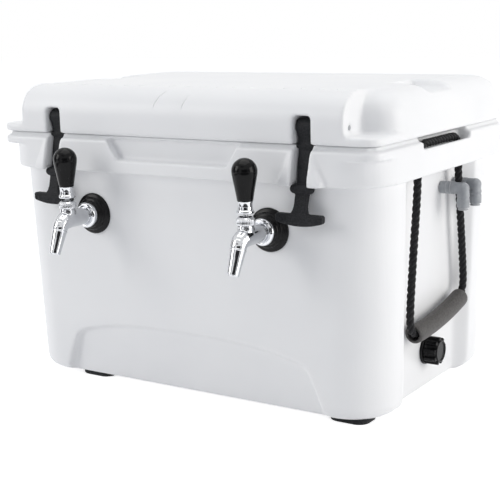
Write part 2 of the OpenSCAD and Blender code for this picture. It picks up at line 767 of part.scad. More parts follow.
module tap_body() {
    color(chrome) difference() {
        union() {
            along_y(handle_y, tap_z) cylinder(h = body_rear_y - handle_y, r = barrel_r);
            translate([0, handle_y, tap_z]) cylinder(h = collar_z - tap_z, r = 10.4);
            hull() {
                translate([0, handle_y, tap_z]) sphere(barrel_r, $fn = hull_fn);
                translate([0, handle_y - 12, tap_z - 2.5]) sphere(10.8, $fn = hull_fn);
            }
            hull() {
                translate([0, handle_y - 12, tap_z - 2.5]) sphere(10.8, $fn = hull_fn);
                translate([0, seam[0], seam[1]]) rotate([-nozzle_tilt, 0, 0]) cylinder(h = 1, r = 10.2, $fn = hull_fn);
            }
        }
        // Shaft bore, seat and rear chamber
        along_y(handle_y - 6, tap_z) cylinder(h = body_rear_y - handle_y - 3, r = shaft_r + 1.2);
        along_y(body_rear_y - 10, tap_z) cylinder(h = 11, r = shaft_r + 0.4);
        along_y(body_rear_y - chamber_in, tap_z) cylinder(h = chamber_in + 1.5, r = 9.3);
        // Lever bore and ball seat
        translate([0, handle_y, tap_z]) cylinder(h = collar_z - tap_z + 1, r = 7.6);
        // Passage down to the nozzle
        translate([0, seam[0], seam[1]]) rotate([-nozzle_tilt, 0, 0]) translate([0, 0, -5])
            cylinder(h = 24, r = outlet_r - 0.5);
    }
}

module tap_nozzle() {
    color(chrome) translate([0, seam[0], seam[1]]) rotate([180 - nozzle_tilt, 0, 0]) rotate_extrude()
        polygon([[outlet_r, 0], [10.2, 0], [10.4, 1.5], [7.3, nozzle_l], [outlet_r, nozzle_l]]);
}

module tap_collar() {
    color(chrome) translate([0, handle_y, collar_z]) rotate_extrude()
        polygon([[collar_in_r, 0], [11.2, 0], [11.6, 1], [11.6, 7], [9.5, 10], [collar_in_r, 10]]);
}

module tap_shaft() {
    color(steel) difference() {
        along_y(handle_y - 5, tap_z) cylinder(h = body_rear_y - handle_y + 5 - chamber_in + 3.1, r = shaft_r);
        translate([-6, handle_y - shaft_slot / 2, tap_z - 2.6]) cube([12, shaft_slot, 12]);
    }
}

module seat_washer() {
    color(black) along_y(body_rear_y - chamber_in + 0.1, tap_z) difference() {
        cylinder(h = 3, r = 8.2);
        translate([0, 0, -1]) cylinder(h = 5, r = shaft_r);
    }
}

module tap_lever() {
    color(steel) translate([0, handle_y, pivot_z]) {
        sphere(7.2);
        translate([0, 0, -lever_finger]) cylinder(h = lever_finger, r = 2.2);
        cylinder(h = ferrule_z - pivot_z + 10, r = lever_stem_r);
    }
}

module lever_ferrule() {
    color(chrome) translate([0, handle_y, ferrule_z]) rotate_extrude()
        polygon([[lever_stem_r + run_gap, 0], [10.6, 0], [11, 0.6], [11, 3.4], [10.4, 4], [9.3, 4.4], [9.3, ferrule_h],
            [lever_stem_r + run_gap, ferrule_h]]);
}

module tap_knob() {
    ball_z = knob_h - knob_r;
    color(black) translate([0, handle_y, knob_z]) rotate_extrude()
        polygon(concat([[0, 0], [knob_r * 0.6, 0], [knob_r * 0.635, 0.8], [knob_r * 0.83, ball_z * 0.5],
            [knob_r * 0.965, ball_z - 4]],
            arc([0, ball_z], knob_r, 0, 90, 10)));
}

// Coil: a tail down the inside, the loops up, and a tail up from the last loop
function coil_path(s) =
    let (
        r0 = coil_r - coil_tail_in,
        top_z = coil_floor_z + coil_loops * coil_pitch,
        start = [r0 * cos(coil_start), r0 * sin(coil_start)],
        ahead = unit([coil_r * cos(0), coil_r * sin(0)] - start),
        fall = [for (z = [coil_tail_z:-14:coil_floor_z + coil_bend_r + 8]) [start[0], start[1], z]],
        turn = [for (b = [0:22.5:90]) [
            start[0] + ahead[0] * coil_bend_r * (1 - cos(b)),
            start[1] + ahead[1] * coil_bend_r * (1 - cos(b)),
            coil_floor_z + coil_bend_r - coil_bend_r * sin(b)]],
        loops = [for (i = [1:coil_loops * coil_rings]) [
            coil_r * cos(360 * i / coil_rings), coil_r * sin(360 * i / coil_rings),
            coil_floor_z + coil_pitch * i / coil_rings]],
        lift = [for (b = [22.5:22.5:90]) [
            coil_r, coil_bend_r * sin(b), top_z + coil_bend_r * (1 - cos(b))]],
        rise = [for (k = [1:3]) [coil_r, coil_bend_r,
            top_z + coil_bend_r + (coil_tail_z - top_z - coil_bend_r) * k / 3]])
    [for (p = concat(fall, turn, loops, lift, rise)) p + [s * coil_x, 0, 0]];

// Least gap between the coil's own turns and tails, measured on its centre line
coil_line = coil_path(1);
coil_gap = min([for (i = [0:3:len(coil_line) - 1], j = [i + 10:len(coil_line) - 1])
    norm(coil_line[i] - coil_line[j])]) - 2 * coil_tube_r;
echo(coil_least_gap_mm = coil_gap);

module coil(s) {
    color(steel) sweep(coil_path(s), coil_tube_r, coil_sides);
}

// Ends of each coil's tails: the inner one feeds the tap, the outer one takes the drink in
function tail_in(s) = [s * coil_x + (coil_r - coil_tail_in) * cos(coil_start),
    (coil_r - coil_tail_in) * sin(coil_start), coil_tail_z];
function tail_out(s) = [s * coil_x + coil_r, coil_bend_r, coil_tail_z];

// Smooth path from point a, leaving along u, to point b, arriving along v
function hose(a, u, b, v, reach, steps) = [
    for (i = [0:steps]) let (t = i / steps, w = 1 - t)
        w ^ 3 * a + 3 * w ^ 2 * t * (a + reach * u) + 3 * w * t ^ 2 * (b - reach * v) + t ^ 3 * b];
up = [0, 0, 1];

// Hoses from the inner tails to the shanks, and from the inlets to the outer tails
module tubing() {
    color([0.8, 0.82, 0.82]) {
        for (s = [-1, 1])
            sweep(hose(tail_in(s), up, [s * tap_x, tail_y, tap_z], [0, -1, 0], 45, 12), hose_r, 8);
        sweep(hose([inlet_inner_x, inlet_1_y, inlet_z], [-1, 0, 0], tail_out(1), -up, 58, 12), hose_r, 8);
        sweep(hose([inlet_inner_x, inlet_2_y, inlet_z], [-1, 0, 0], tail_out(-1), -up, 70, 18), hose_r, 8);
    }
}

// Lid: its corners are set back at the front and rounded over, a hair inside the block and the ears
module lid_pillow() {
    r = lid_edge_r;
    q = rear_corner_r;
    intersection() {
        hull() {
            for (s = [-1, 1]) {
                translate([s * (hx - pillow_in - r), -hy + lid_corner_in + r, lid_top_z - pillow_in - r])
                    sphere(r, $fn = hull_fn);
                translate([s * (hx - pillow_in - r), hy - pillow_in - r, lid_top_z - pillow_in - r])
                    sphere(r, $fn = hull_fn);
                translate([s * (hx - pillow_in - r), -hy + lid_corner_in + r, lid_z])
                    cylinder(h = 1, r = r, $fn = hull_fn);
                translate([s * (hx - pillow_in - q), hy - pillow_in - q, lid_z])
                    cylinder(h = 1, r = q, $fn = hull_fn);
            }
        }
        translate([-hx, -hy, lid_z + 2]) cube([case_w, case_d, lid_h]);
    }
}

module lid_outer() {
    front = [[-hy, lid_z], [-hy, lid_top_z - lid_edge_r]];
    crown = arc([-hy + lid_edge_r, lid_top_z - lid_edge_r], lid_edge_r, 180, 90, 10);
    yz_slab(concat(front, crown, [[0, lid_top_z], [0, lid_z]]), -lid_block_hx, lid_block_hx);
    lid_pillow();
    translate([0, 0, lid_z]) case_plate(ear_t, ear_r, rear_corner_r);
    translate([0, 0, lid_z - plug_h])
        rounded_plate(2 * (tub_hx - plug_gap), 2 * (tub_hy - plug_gap), plug_h + 1, tub_r - plug_gap);
}

module lid_foam_space() {
    translate([0, 14, lid_z + 6])
        rounded_plate(2 * (lid_block_hx - 12), case_d - lid_corner_in - 46, lid_h - 26, corner_r - 20);
    translate([0, 0, lid_z - plug_h + skin_t])
        rounded_plate(2 * (tub_hx - plug_gap - skin_t), 2 * (tub_hy - plug_gap - skin_t), plug_h + 2, tub_r - 10);
}

module strap_grooves() {
    for (sx = [-1, 1]) {
        x0 = sx > 0 ? hx - 70 : -hx - 1;
        yz_slab([[-strap_groove_hy - 4, lid_top_z + 1], [-strap_groove_hy + 6, lid_top_z - strap_groove_h],
            [strap_groove_hy - 6, lid_top_z - strap_groove_h], [strap_groove_hy + 4, lid_top_z + 1]],
            x0, x0 + 71);
    }
}

module lid_knuckles() {
    for (sx = [-1, 1], side = [-1, 1]) {
        x0 = sx * hinge_x + (side > 0 ? hinge_body_w / 2 + knuckle_gap
            : -hinge_body_w / 2 - knuckle_gap - hinge_lid_w);
        along_x(x0, hinge_y, hinge_z) cylinder(h = hinge_lid_w, r = knuckle_r);
        yz_slab([[hy - 2, lid_z + 26], [hy + 1, lid_z + 26], [hinge_y + knuckle_r, hinge_z + 8],
            [hinge_y + knuckle_r, hinge_z], [hinge_y, hinge_z], [hy - 2, lid_z + 1]], x0, x0 + hinge_lid_w);
    }
}

module body_knuckle_room() {
    for (sx = [-1, 1]) along_x(sx * hinge_x - hinge_body_w / 2 - knuckle_gap, hinge_y, hinge_z)
        cylinder(h = hinge_body_w + 2 * knuckle_gap, r = knuckle_r + 1);
}

module latch_pockets() {
    for (sx = [-1, 1]) {
        translate([sx * latch_x - pocket_w / 2, -hy - 1, lid_z - 1])
            cube([pocket_w, pocket_in + 1, latch_pin_z + loop_r + latch_gap * 2 + 1]);
        x0 = sx > 0 ? latch_x - 16 : -lid_block_hx - 1;
        along_x(x0, pin_y, pin_z) cylinder(h = lid_block_hx + 1 - latch_x + 16, r = latch_pin_r + run_gap);
    }
}

module lid_shell() {
    color(white) difference() {
        union() {
            difference() {
                lid_outer();
                strap_grooves();
                body_knuckle_room();
            }
            lid_knuckles();
        }
        lid_foam_space();
        latch_pockets();
        hinge_bores();
        translate([0, 0, lid_z - plug_h - 1]) cylinder(h = skin_t + 2, r = 12);
    }
}

module lid_foam() {
    color(foam_yellow) lid_foam_space();
}

module lid_foam_plug() {
    color(grey) translate([0, 0, lid_z - plug_h - 1.5]) {
        cylinder(h = 1.5, r = 15);
        cylinder(h = skin_t + 1.4, r = 12 - run_gap);
    }
}

module lid_gasket() {
    w = 2 * (tub_hx + 16);
    d = 2 * (tub_hy + 16);
    color([0.35, 0.36, 0.37]) translate([0, 0, rim_top_z + 0.2]) difference() {
        rounded_plate(w, d, lid_gap - 0.2, tub_r + 16);
        translate([0, 0, -1]) rounded_plate(w - 2 * gasket_w, d - 2 * gasket_w, lid_gap + 2, tub_r + 16 - gasket_w);
    }
}

module hinge_pins() {
    color(steel) for (sx = [-1, 1])
        along_x(sx * hinge_x - hinge_w / 2 - 1, hinge_y, hinge_z) cylinder(h = hinge_w + 2, r = hinge_pin_r);
}

module latch_pins() {
    color(steel) for (sx = [-1, 1]) {
        x0 = sx > 0 ? latch_x - 15.5 : -lid_block_hx + 1;
        along_x(x0, pin_y, pin_z) cylinder(h = lid_block_hx - 1 - latch_x + 15.5, r = latch_pin_r);
    }
}

// Strap outline in Y and Z, from the loop down past the bulb to the T-handle
module latch(s) {
    half = strap_t / 2;
    color(black) translate([s * latch_x, 0, 0]) difference() {
        union() {
            along_x(-latch_loop_w / 2, pin_y, pin_z) cylinder(h = latch_loop_w, r = loop_r - 0.5);
            yz_slab([[pin_y - loop_r + 1, pin_z], [pin_y - loop_r + 1 + strap_t, pin_z],
                [bulb_y + half, bulb_z], [tee_y + half, tee_z], [tee_y - half, tee_z],
                [bulb_y - half, bulb_z]], -strap_w / 2, strap_w / 2);
            along_x(-bulb_w / 2 + bulb_r, bulb_y, bulb_z) cylinder(h = bulb_w - 2 * bulb_r, r = bulb_r);
            for (e = [-1, 1]) translate([e * (bulb_w / 2 - bulb_r), bulb_y, bulb_z]) sphere(bulb_r);
            translate([-tee_w / 2, tee_y - half - 1, tee_z - tee_h]) cube([tee_w, strap_t + 2, tee_h]);
            translate([-strap_w / 2 - 4, tee_y - half - 0.5, tee_z - 4]) cube([strap_w + 8, strap_t + 1, 8]);
        }
        along_x(-latch_loop_w, pin_y, pin_z) cylinder(h = 2 * latch_loop_w, r = latch_pin_r + run_gap);
    }
}

body_shell();
body_foam();
foot(-1, -1);  // foot_front_left
foot(1, -1);  // foot_front_right
foot(-1, 1);  // foot_rear_left
foot(1, 1);  // foot_rear_right
foot_screws();
rope_lead(-1);  // rope_lead_left
rope_lead(1);  // rope_lead_right
drain_fitting();
drain_gasket();
drain_nut();
drain_cap();
inlet_stem(inlet_1_y);  // inlet_stem_front
inlet_stem(inlet_2_y);  // inlet_stem_back
inlet_nut(inlet_1_y);  // inlet_nut_front
inlet_nut(inlet_2_y);  // inlet_nut_back
inlet_elbow(inlet_1_y);  // inlet_elbow_front
inlet_elbow(inlet_2_y);  // inlet_elbow_back
collet(inlet_1_y);  // collet_front
collet(inlet_2_y);  // collet_back
at_tap(-1) shank();  // shank_left
at_tap(1) shank();  // shank_right
at_tap(-1) shank_flange();  // shank_flange_left
at_tap(1) shank_flange();  // shank_flange_right
at_tap(-1) shank_nut();  // shank_nut_left
at_tap(1) shank_nut();  // shank_nut_right
at_tap(-1) coupling_nut();  // coupling_nut_left
at_tap(1) coupling_nut();  // coupling_nut_right
at_tap(-1) tap_body();  // tap_body_left
at_tap(1) tap_body();  // tap_body_right
at_tap(-1) tap_nozzle();  // tap_nozzle_left
at_tap(1) tap_nozzle();  // tap_nozzle_right
at_tap(-1) tap_collar();  // tap_collar_left
at_tap(1) tap_collar();  // tap_collar_right
at_tap(-1) tap_shaft();  // tap_shaft_left
at_tap(1) tap_shaft();  // tap_shaft_right
at_tap(-1) seat_washer();  // seat_washer_left
at_tap(1) seat_washer();  // seat_washer_right
at_tap(-1) tap_lever();  // tap_lever_left
at_tap(1) tap_lever();  // tap_lever_right
at_tap(-1) lever_ferrule();  // lever_ferrule_left
at_tap(1) lever_ferrule();  // lever_ferrule_right
at_tap(-1) tap_knob();  // tap_knob_left
at_tap(1) tap_knob();  // tap_knob_right
coil(-1);  // coil_left
coil(1);  // coil_right
tubing();
lid_shell();
lid_foam();
lid_foam_plug();
lid_gasket();
hinge_pins();
latch_pins();
latch(-1);  // latch_left
latch(1);  // latch_right
rope(-1);  // rope_left
rope(1);  // rope_right
grip(-1);  // grip_left
grip(1);  // grip_right
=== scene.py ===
import math
import bpy
import bmesh
from mathutils import Matrix, Vector


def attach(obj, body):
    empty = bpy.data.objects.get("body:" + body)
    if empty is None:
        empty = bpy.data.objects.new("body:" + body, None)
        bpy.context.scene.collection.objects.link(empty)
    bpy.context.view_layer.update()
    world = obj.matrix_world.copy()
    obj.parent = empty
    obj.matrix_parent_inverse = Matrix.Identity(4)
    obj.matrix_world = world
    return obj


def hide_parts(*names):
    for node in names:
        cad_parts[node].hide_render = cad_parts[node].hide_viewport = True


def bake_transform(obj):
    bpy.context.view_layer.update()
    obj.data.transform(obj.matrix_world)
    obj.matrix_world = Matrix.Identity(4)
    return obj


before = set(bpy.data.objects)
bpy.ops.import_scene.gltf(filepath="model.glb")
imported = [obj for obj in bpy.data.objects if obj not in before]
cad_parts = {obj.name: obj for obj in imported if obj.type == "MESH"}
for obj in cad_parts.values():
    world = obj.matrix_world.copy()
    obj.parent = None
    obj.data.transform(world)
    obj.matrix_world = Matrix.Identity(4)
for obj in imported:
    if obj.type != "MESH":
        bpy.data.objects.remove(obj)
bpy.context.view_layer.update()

# Camera and studio: the box stands on a white sweep, seen from the front right
# and a little above, under broad soft lamps.
scene = bpy.context.scene
scene.view_settings.view_transform = "Standard"
camera_place = (0.9205, -1.4201, 0.5232)
taps_middle = Vector((0, -0.24, 0.25))
azimuth, elevation, roll = math.radians(33.32), math.radians(11.66), math.radians(-1.44)
ahead = Vector((-math.sin(azimuth) * math.cos(elevation), math.cos(azimuth) * math.cos(elevation),
                -math.sin(elevation)))
across = Vector((math.cos(azimuth), math.sin(azimuth), 0))
upward = across.cross(ahead)
camera_x = across * math.cos(roll) + upward * math.sin(roll)
camera_y = upward * math.cos(roll) - across * math.sin(roll)
camera_data = bpy.data.cameras.new("camera")
camera_data.lens = 84.36
camera_data.sensor_width = 36
camera_data.clip_end = 50
camera = bpy.data.objects.new("camera", camera_data)
scene.collection.objects.link(camera)
turn = Matrix((camera_x, camera_y, -ahead)).transposed().to_4x4()
camera.matrix_world = Matrix.Translation(camera_place) @ turn
scene.camera = camera


def lamp(name, place, target, size, power, color):
    """A rectangular lamp that faces its target."""
    data = bpy.data.lights.new(name, "AREA")
    data.shape = "RECTANGLE"
    data.size, data.size_y = size
    data.energy = power
    data.color = color
    light = bpy.data.objects.new(name, data)
    scene.collection.objects.link(light)
    light.matrix_world = Matrix.Translation(place) @ (
        (Vector(target) - Vector(place)).to_track_quat("-Z", "Y").to_matrix().to_4x4())


def as_mesh(name, form):
    """The mesh of a bmesh, which is used up."""
    mesh = bpy.data.meshes.new(name)
    form.to_mesh(mesh)
    form.free()
    return mesh


lamp("right_bank", (3.0, 0.6, 0.9), (0.1, 0.05, 0.12), (2.2, 2.0), 52, (1, 0.975, 0.935))
lamp("overhead", (0.0, -0.1, 2.6), (0, 0, 0.3), (2.4, 2.4), 27, (1, 0.99, 0.97))
lamp("front_fill", (-2.2, -2.4, 1.6), (-0.2, 0, 0.3), (1.6, 1.8), 35, (1, 0.985, 0.96))
world = bpy.data.worlds.new("studio_air")
scene.world = world
world.use_nodes = True
air = world.node_tree
air.nodes.clear()
rays = air.nodes.new("ShaderNodeLightPath")
seen = air.nodes.new("ShaderNodeMath")
seen.operation = "MAXIMUM"
mirrored = air.nodes.new("ShaderNodeMath")
mirrored.operation = "MAXIMUM"
air.links.new(rays.outputs["Is Camera Ray"], seen.inputs[0])
air.links.new(rays.outputs["Is Transmission Ray"], seen.inputs[1])
air.links.new(seen.outputs[0], mirrored.inputs[0])
air.links.new(rays.outputs["Is Glossy Ray"], mirrored.inputs[1])
ambient = air.nodes.new("ShaderNodeBackground")
ambient.inputs["Color"].default_value = (0.89, 0.93, 1, 1)
ambient.inputs["Strength"].default_value = 0.38
backdrop = air.nodes.new("ShaderNodeBackground")
backdrop.inputs["Color"].default_value = (1, 1, 1, 1)
backdrop.inputs["Strength"].default_value = 1
mixed = air.nodes.new("ShaderNodeMixShader")
sky = air.nodes.new("ShaderNodeOutputWorld")
air.links.new(mirrored.outputs[0], mixed.inputs[0])
air.links.new(ambient.outputs[0], mixed.inputs[1])
air.links.new(backdrop.outputs[0], mixed.inputs[2])
air.links.new(mixed.outputs[0], sky.inputs[0])

floor_form = bmesh.new()
bmesh.ops.create_grid(floor_form, x_segments=1, y_segments=1, size=9)
floor = bpy.data.objects.new("floor", as_mesh("floor", floor_form))
scene.collection.objects.link(floor)
paper = bpy.data.materials.new("white_paper")
paper.use_nodes = True
sheet = paper.node_tree
sheet.nodes.clear()
matte = sheet.nodes.new("ShaderNodeBsdfDiffuse")
matte.inputs["Color"].default_value = (0.85, 0.85, 0.86, 1)
glow = sheet.nodes.new("ShaderNodeEmission")
glow.inputs["Color"].default_value = (1, 1, 1, 1)
glow.inputs["Strength"].default_value = 0.72
lit = sheet.nodes.new("ShaderNodeAddShader")
paper_rays = sheet.nodes.new("ShaderNodeLightPath")
bounce = sheet.nodes.new("ShaderNodeMixShader")
paper_out = sheet.nodes.new("ShaderNodeOutputMaterial")
sheet.links.new(matte.outputs[0], lit.inputs[0])
sheet.links.new(glow.outputs[0], lit.inputs[1])
sheet.links.new(paper_rays.outputs["Is Diffuse Ray"], bounce.inputs[0])
sheet.links.new(lit.outputs[0], bounce.inputs[1])
sheet.links.new(matte.outputs[0], bounce.inputs[2])
sheet.links.new(bounce.outputs[0], paper_out.inputs[0])
floor.data.materials.append(paper)

# Dark cards, which only reflections show: each has a place, a size, and whether it
# lies flat on the sweep or faces the taps.
cards = [((1.55, -2.35, 0.62), (2.6, 1.25), False), ((0.92, -1.44, 0.012), (2.0, 1.1), True),
         ((-0.60, -1.30, 0.012), (0.30, 1.5), True), ((-0.85, -2.3, 0.45), (0.5, 1.3), False),
         ((2.0, -0.80, 0.30), (0.22, 1.2), False), ((-1.6, -0.9, 0.45), (0.7, 1.3), False),
         ((0.35, -1.6, 1.6), (0.9, 0.30), False)]
soot = bpy.data.materials.new("black_card")
soot.use_nodes = True
soot_shader = soot.node_tree.nodes["Principled BSDF"]
soot_shader.inputs["Base Color"].default_value = (0.01, 0.01, 0.012, 1)
soot_shader.inputs["Roughness"].default_value = 0.9
for number, (place, size, flat) in enumerate(cards):
    sheet_form = bmesh.new()
    bmesh.ops.create_grid(sheet_form, x_segments=1, y_segments=1, size=0.5)
    bmesh.ops.scale(sheet_form, vec=(*size, 1), verts=sheet_form.verts)
    aim = (taps_middle - Vector(place)).to_track_quat("Z", "Y").to_matrix().to_4x4()
    if flat:
        aim = Matrix.Rotation(azimuth, 4, "Z")
    bmesh.ops.transform(sheet_form, matrix=Matrix.Translation(place) @ aim, verts=sheet_form.verts)
    card_data = as_mesh("reflector_card", sheet_form)
    card_data.materials.append(soot)
    card = bpy.data.objects.new(f"reflector_card_{number}", card_data)
    scene.collection.objects.link(card)
    card.visible_camera = card.visible_diffuse = card.visible_shadow = False

# Rope handles: black three-strand cord, led out of two holes under the rim on
# each side and through a soft grey grip, with the ends led inside the rim.
# The routes are (y, z) in millimetres: from the grip's middle up, and from a hole inward.
rope_drop = [(0, 109), (25, 109), (50, 109), (64, 109), (72, 110.5), (79, 115), (84, 122), (86, 132),
             (85, 150), (82, 175), (78, 205), (73.5, 235), (69, 265), (66, 288), (65, 301.7), (65, 312)]
rope_inside = [(65, 308), (65, 318), (65, 326), (63.3, 334.4), (58.6, 341.6), (51.4, 346.3), (43, 348),
               (20, 348), (0, 348)]
rope_x, rope_r, rope_step = 0.288, 0.0055, 0.0022
rope_hole_y = 0.065
pivot_mm, grip_mm, grip_half_mm, lean_mm = 302, 109, 76, 9
grip_z, grip_half = grip_mm / 1000, grip_half_mm / 1000
grip_lean = math.atan(lean_mm / grip_half_mm)


def hung(y, z, side):
    """A rope point in metres, from millimetres: lower in front and higher behind, as the grip hangs."""
    fall = min(1, (pivot_mm - z) / (pivot_mm - grip_mm))
    return side * y / 1000, (z + side * lean_mm * y / grip_half_mm * fall) / 1000


def smooth_route(points, spacing):
    """The route through the given points, at an even spacing."""
    fine, finer = [], 12
    for i in range(len(points) - 1):
        before, a = points[max(i - 1, 0)], points[i]
        b, after = points[i + 1], points[min(i + 2, len(points) - 1)]
        for k in range(finer):
            t = k / finer
            fine.append(0.5 * (2 * a + (b - before) * t + (2 * before - 5 * a + 4 * b - after) * t * t
                               + (3 * a - before - 3 * b + after) * t ** 3))
    fine.append(points[-1])
    route, walked, due = [fine[0]], 0.0, spacing
    for a, b in zip(fine, fine[1:]):
        step = (b - a).length
        while walked + step >= due:
            route.append(a.lerp(b, (due - walked) / step))
            due += spacing
        walked += step
    if (route[-1] - points[-1]).length > spacing * 0.3:
        route.append(points[-1])
    else:
        route[-1] = points[-1]
    return route


def tube_along(name, route, radius, sides):
    """A mesh tube from a bevelled curve; radius is one number or one for each point."""
    data = bpy.data.curves.new(name, "CURVE")
    data.dimensions = "3D"
    data.bevel_depth = 1
    data.bevel_resolution = sides
    data.use_fill_caps = True
    spline = data.splines.new("POLY")
    spline.points.add(len(route) - 1)
    for i, p in enumerate(route):
        spline.points[i].co = (*p, 1)
        spline.points[i].radius = radius[i] if hasattr(radius, "__len__") else radius
    maker = bpy.data.objects.new(name, data)
    scene.collection.objects.link(maker)
    mesh = bpy.data.meshes.new_from_object(maker.evaluated_get(bpy.context.evaluated_depsgraph_get()))
    bpy.data.objects.remove(maker)
    bpy.data.curves.remove(data)
    return mesh


def piece(name, mesh, *materials):
    """A finished mesh as an object, smooth shaded, with its normals outward."""
    body = bmesh.new()
    body.from_mesh(mesh)
    bmesh.ops.remove_doubles(body, verts=body.verts, dist=1e-6)
    bmesh.ops.recalc_face_normals(body, faces=body.faces)
    for face in body.faces:
        face.smooth = True
    body.to_mesh(mesh)
    body.free()
    mesh.name = name
    mesh.materials.clear()
    for material in materials:
        mesh.materials.append(material)
    made = bpy.data.objects.new(name, mesh)
    scene.collection.objects.link(made)
    return made


def braid(name, route, material):
    """Three strands laid round the route."""
    strands, lay, strand_r, offset = 3, 0.026, 0.0030, 0.0025
    joined = bmesh.new()
    for strand in range(strands):
        line, gone = [], 0.0
        for i, p in enumerate(route):
            along = (route[min(i + 1, len(route) - 1)] - route[max(i - 1, 0)]).normalized()
            side = Vector((1, 0, 0))
            other = along.cross(side).normalized()
            gone += (p - route[i - 1]).length if i else 0
            angle = math.tau * (gone / lay + strand / strands)
            line.append(p + offset * (math.cos(angle) * side + math.sin(angle) * other))
        joined.from_mesh(tube_along(name, line, strand_r, sides=2))
    return piece(name, as_mesh(name, joined), material)


def base_material(name, color, roughness, metallic=0.0):
    """A plain material, with its node tree and its shader."""
    material = bpy.data.materials.new(name)
    material.use_nodes = True
    shader = material.node_tree.nodes["Principled BSDF"]
    shader.inputs["Base Color"].default_value = (*color, 1)
    shader.inputs["Roughness"].default_value = roughness
    shader.inputs["Metallic"].default_value = metallic
    return material, material.node_tree, shader


def noise(tree, scale, detail, stretch=(1, 1, 1)):
    """Noise in the object's own coordinates."""
    place = tree.nodes.new("ShaderNodeTexCoord")
    mapping = tree.nodes.new("ShaderNodeMapping")
    mapping.inputs["Scale"].default_value = stretch
    texture = tree.nodes.new("ShaderNodeTexNoise")
    texture.inputs["Scale"].default_value = scale
    texture.inputs["Detail"].default_value = detail
    tree.links.new(place.outputs["Object"], mapping.inputs[0])
    tree.links.new(mapping.outputs[0], texture.inputs["Vector"])
    return texture


def bump(tree, shader, height, strength, distance):
    """Fine relief that follows a height."""
    relief = tree.nodes.new("ShaderNodeBump")
    relief.inputs["Strength"].default_value = strength
    relief.inputs["Distance"].default_value = distance
    tree.links.new(height, relief.inputs["Height"])
    tree.links.new(relief.outputs[0], shader.inputs["Normal"])


def tint(tree, shader, factor, dark, light):
    """A base color between dark and light, which follows the factor."""
    ramp = tree.nodes.new("ShaderNodeValToRGB")
    ramp.color_ramp.elements[0].position = 0.35
    ramp.color_ramp.elements[1].position = 0.65
    ramp.color_ramp.elements[0].color = (*dark, 1)
    ramp.color_ramp.elements[1].color = (*light, 1)
    tree.links.new(factor, ramp.inputs[0])
    tree.links.new(ramp.outputs[0], shader.inputs["Base Color"])


def grained(name, color, roughness, dark, light, grain, relief, metallic=0.0, specular=None, sheen=0.0):
    """A material whose tone and relief follow one noise. The grain is its scale, detail
    and stretch, and the relief is the bump's strength and distance."""
    material, tree, shader = base_material(name, color, roughness, metallic)
    texture = noise(tree, *grain)
    tint(tree, shader, texture.outputs["Fac"], dark, light)
    bump(tree, shader, texture.outputs["Fac"], *relief)
    shader.inputs["Sheen Weight"].default_value = sheen
    if specular is not None:
        shader.inputs["Specular IOR Level"].default_value = specular
    return material


rope_material = grained("black_rope", (0.012, 0.012, 0.013), 0.62, (0.006, 0.006, 0.007), (0.024, 0.024, 0.026),
                        (900, 4.0), (0.6, 0.0006), specular=0.12, sheen=0.08)
grip_material = grained("grey_grip", (0.065, 0.06, 0.058), 0.6, (0.038, 0.035, 0.034), (0.072, 0.068, 0.066),
                        (420, 5.0), (0.35, 0.0004))


def lathe(name, profile, steps):
    """A closed ring profile of (radius, height) pairs spun about +Z."""
    turned = bmesh.new()
    verts = [turned.verts.new((r, 0, z)) for r, z in profile]
    edges = [turned.edges.new(pair) for pair in zip(verts, verts[1:])]
    bmesh.ops.spin(turned, geom=verts + edges, cent=(0, 0, 0), axis=(0, 0, 1), angle=math.tau,
                   steps=steps, use_merge=True)
    bmesh.ops.remove_doubles(turned, verts=turned.verts, dist=1e-6)
    return as_mesh(name, turned)


grip_end = [(0.0072, 0.060), (0.0080, 0.0755), (0.0092, 0.0768), (0.0112, 0.0764), (0.0123, 0.0745),
            (0.0126, 0.070), (0.0125, 0.045)]
grip_sag, grip_lift = 0.0052, 0.0012
for side, sign in (("left", -1), ("right", 1)):
    x = sign * rope_x
    whole = [Vector((x, *hung(y, z, -1))) for y, z in reversed(rope_drop[1:])]
    whole += [Vector((x, *hung(y, z, 1))) for y, z in rope_drop]
    route = smooth_route(whole, rope_step)
    rope = braid(f"rope_{side}_braid", route, rope_material)
    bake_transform(rope)
    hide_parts(f"rope_{side}")
    inner = [Vector((x, y / 1000, z / 1000)) for y, z in rope_inside]
    inner = [Vector((p.x, -p.y, p.z)) for p in inner[:-1]] + list(reversed(inner))
    lead_route = smooth_route(inner, rope_step)
    lead = braid(f"rope_lead_{side}_braid", lead_route, rope_material)
    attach(lead, "root")
    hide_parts(f"rope_lead_{side}")
    tube = lathe("grip", [(r, -z) for r, z in grip_end] + [(0.0124, 0.0)] + grip_end[::-1], steps=40)
    tube.transform(Matrix.Translation((x, 0, grip_z)) @ Matrix.Rotation(math.pi / 2, 4, "X"))
    shaped = bmesh.new()
    shaped.from_mesh(tube)
    lengthwise = [e for e in shaped.edges if abs(e.verts[0].co.y - e.verts[1].co.y) > 0.01]
    bmesh.ops.subdivide_edges(shaped, edges=lengthwise, cuts=6)
    for v in shaped.verts:
        v.co.z += grip_lift - grip_sag * max(0.0, 1 - (v.co.y / grip_half) ** 2)
    bmesh.ops.rotate(shaped, cent=(x, 0, grip_z), matrix=Matrix.Rotation(grip_lean, 3, "X"), verts=shaped.verts)
    shaped.to_mesh(tube)
    shaped.free()
    grip = piece(f"grip_{side}_tube", tube, grip_material)
    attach(grip, f"handle_{side}")
    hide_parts(f"grip_{side}")

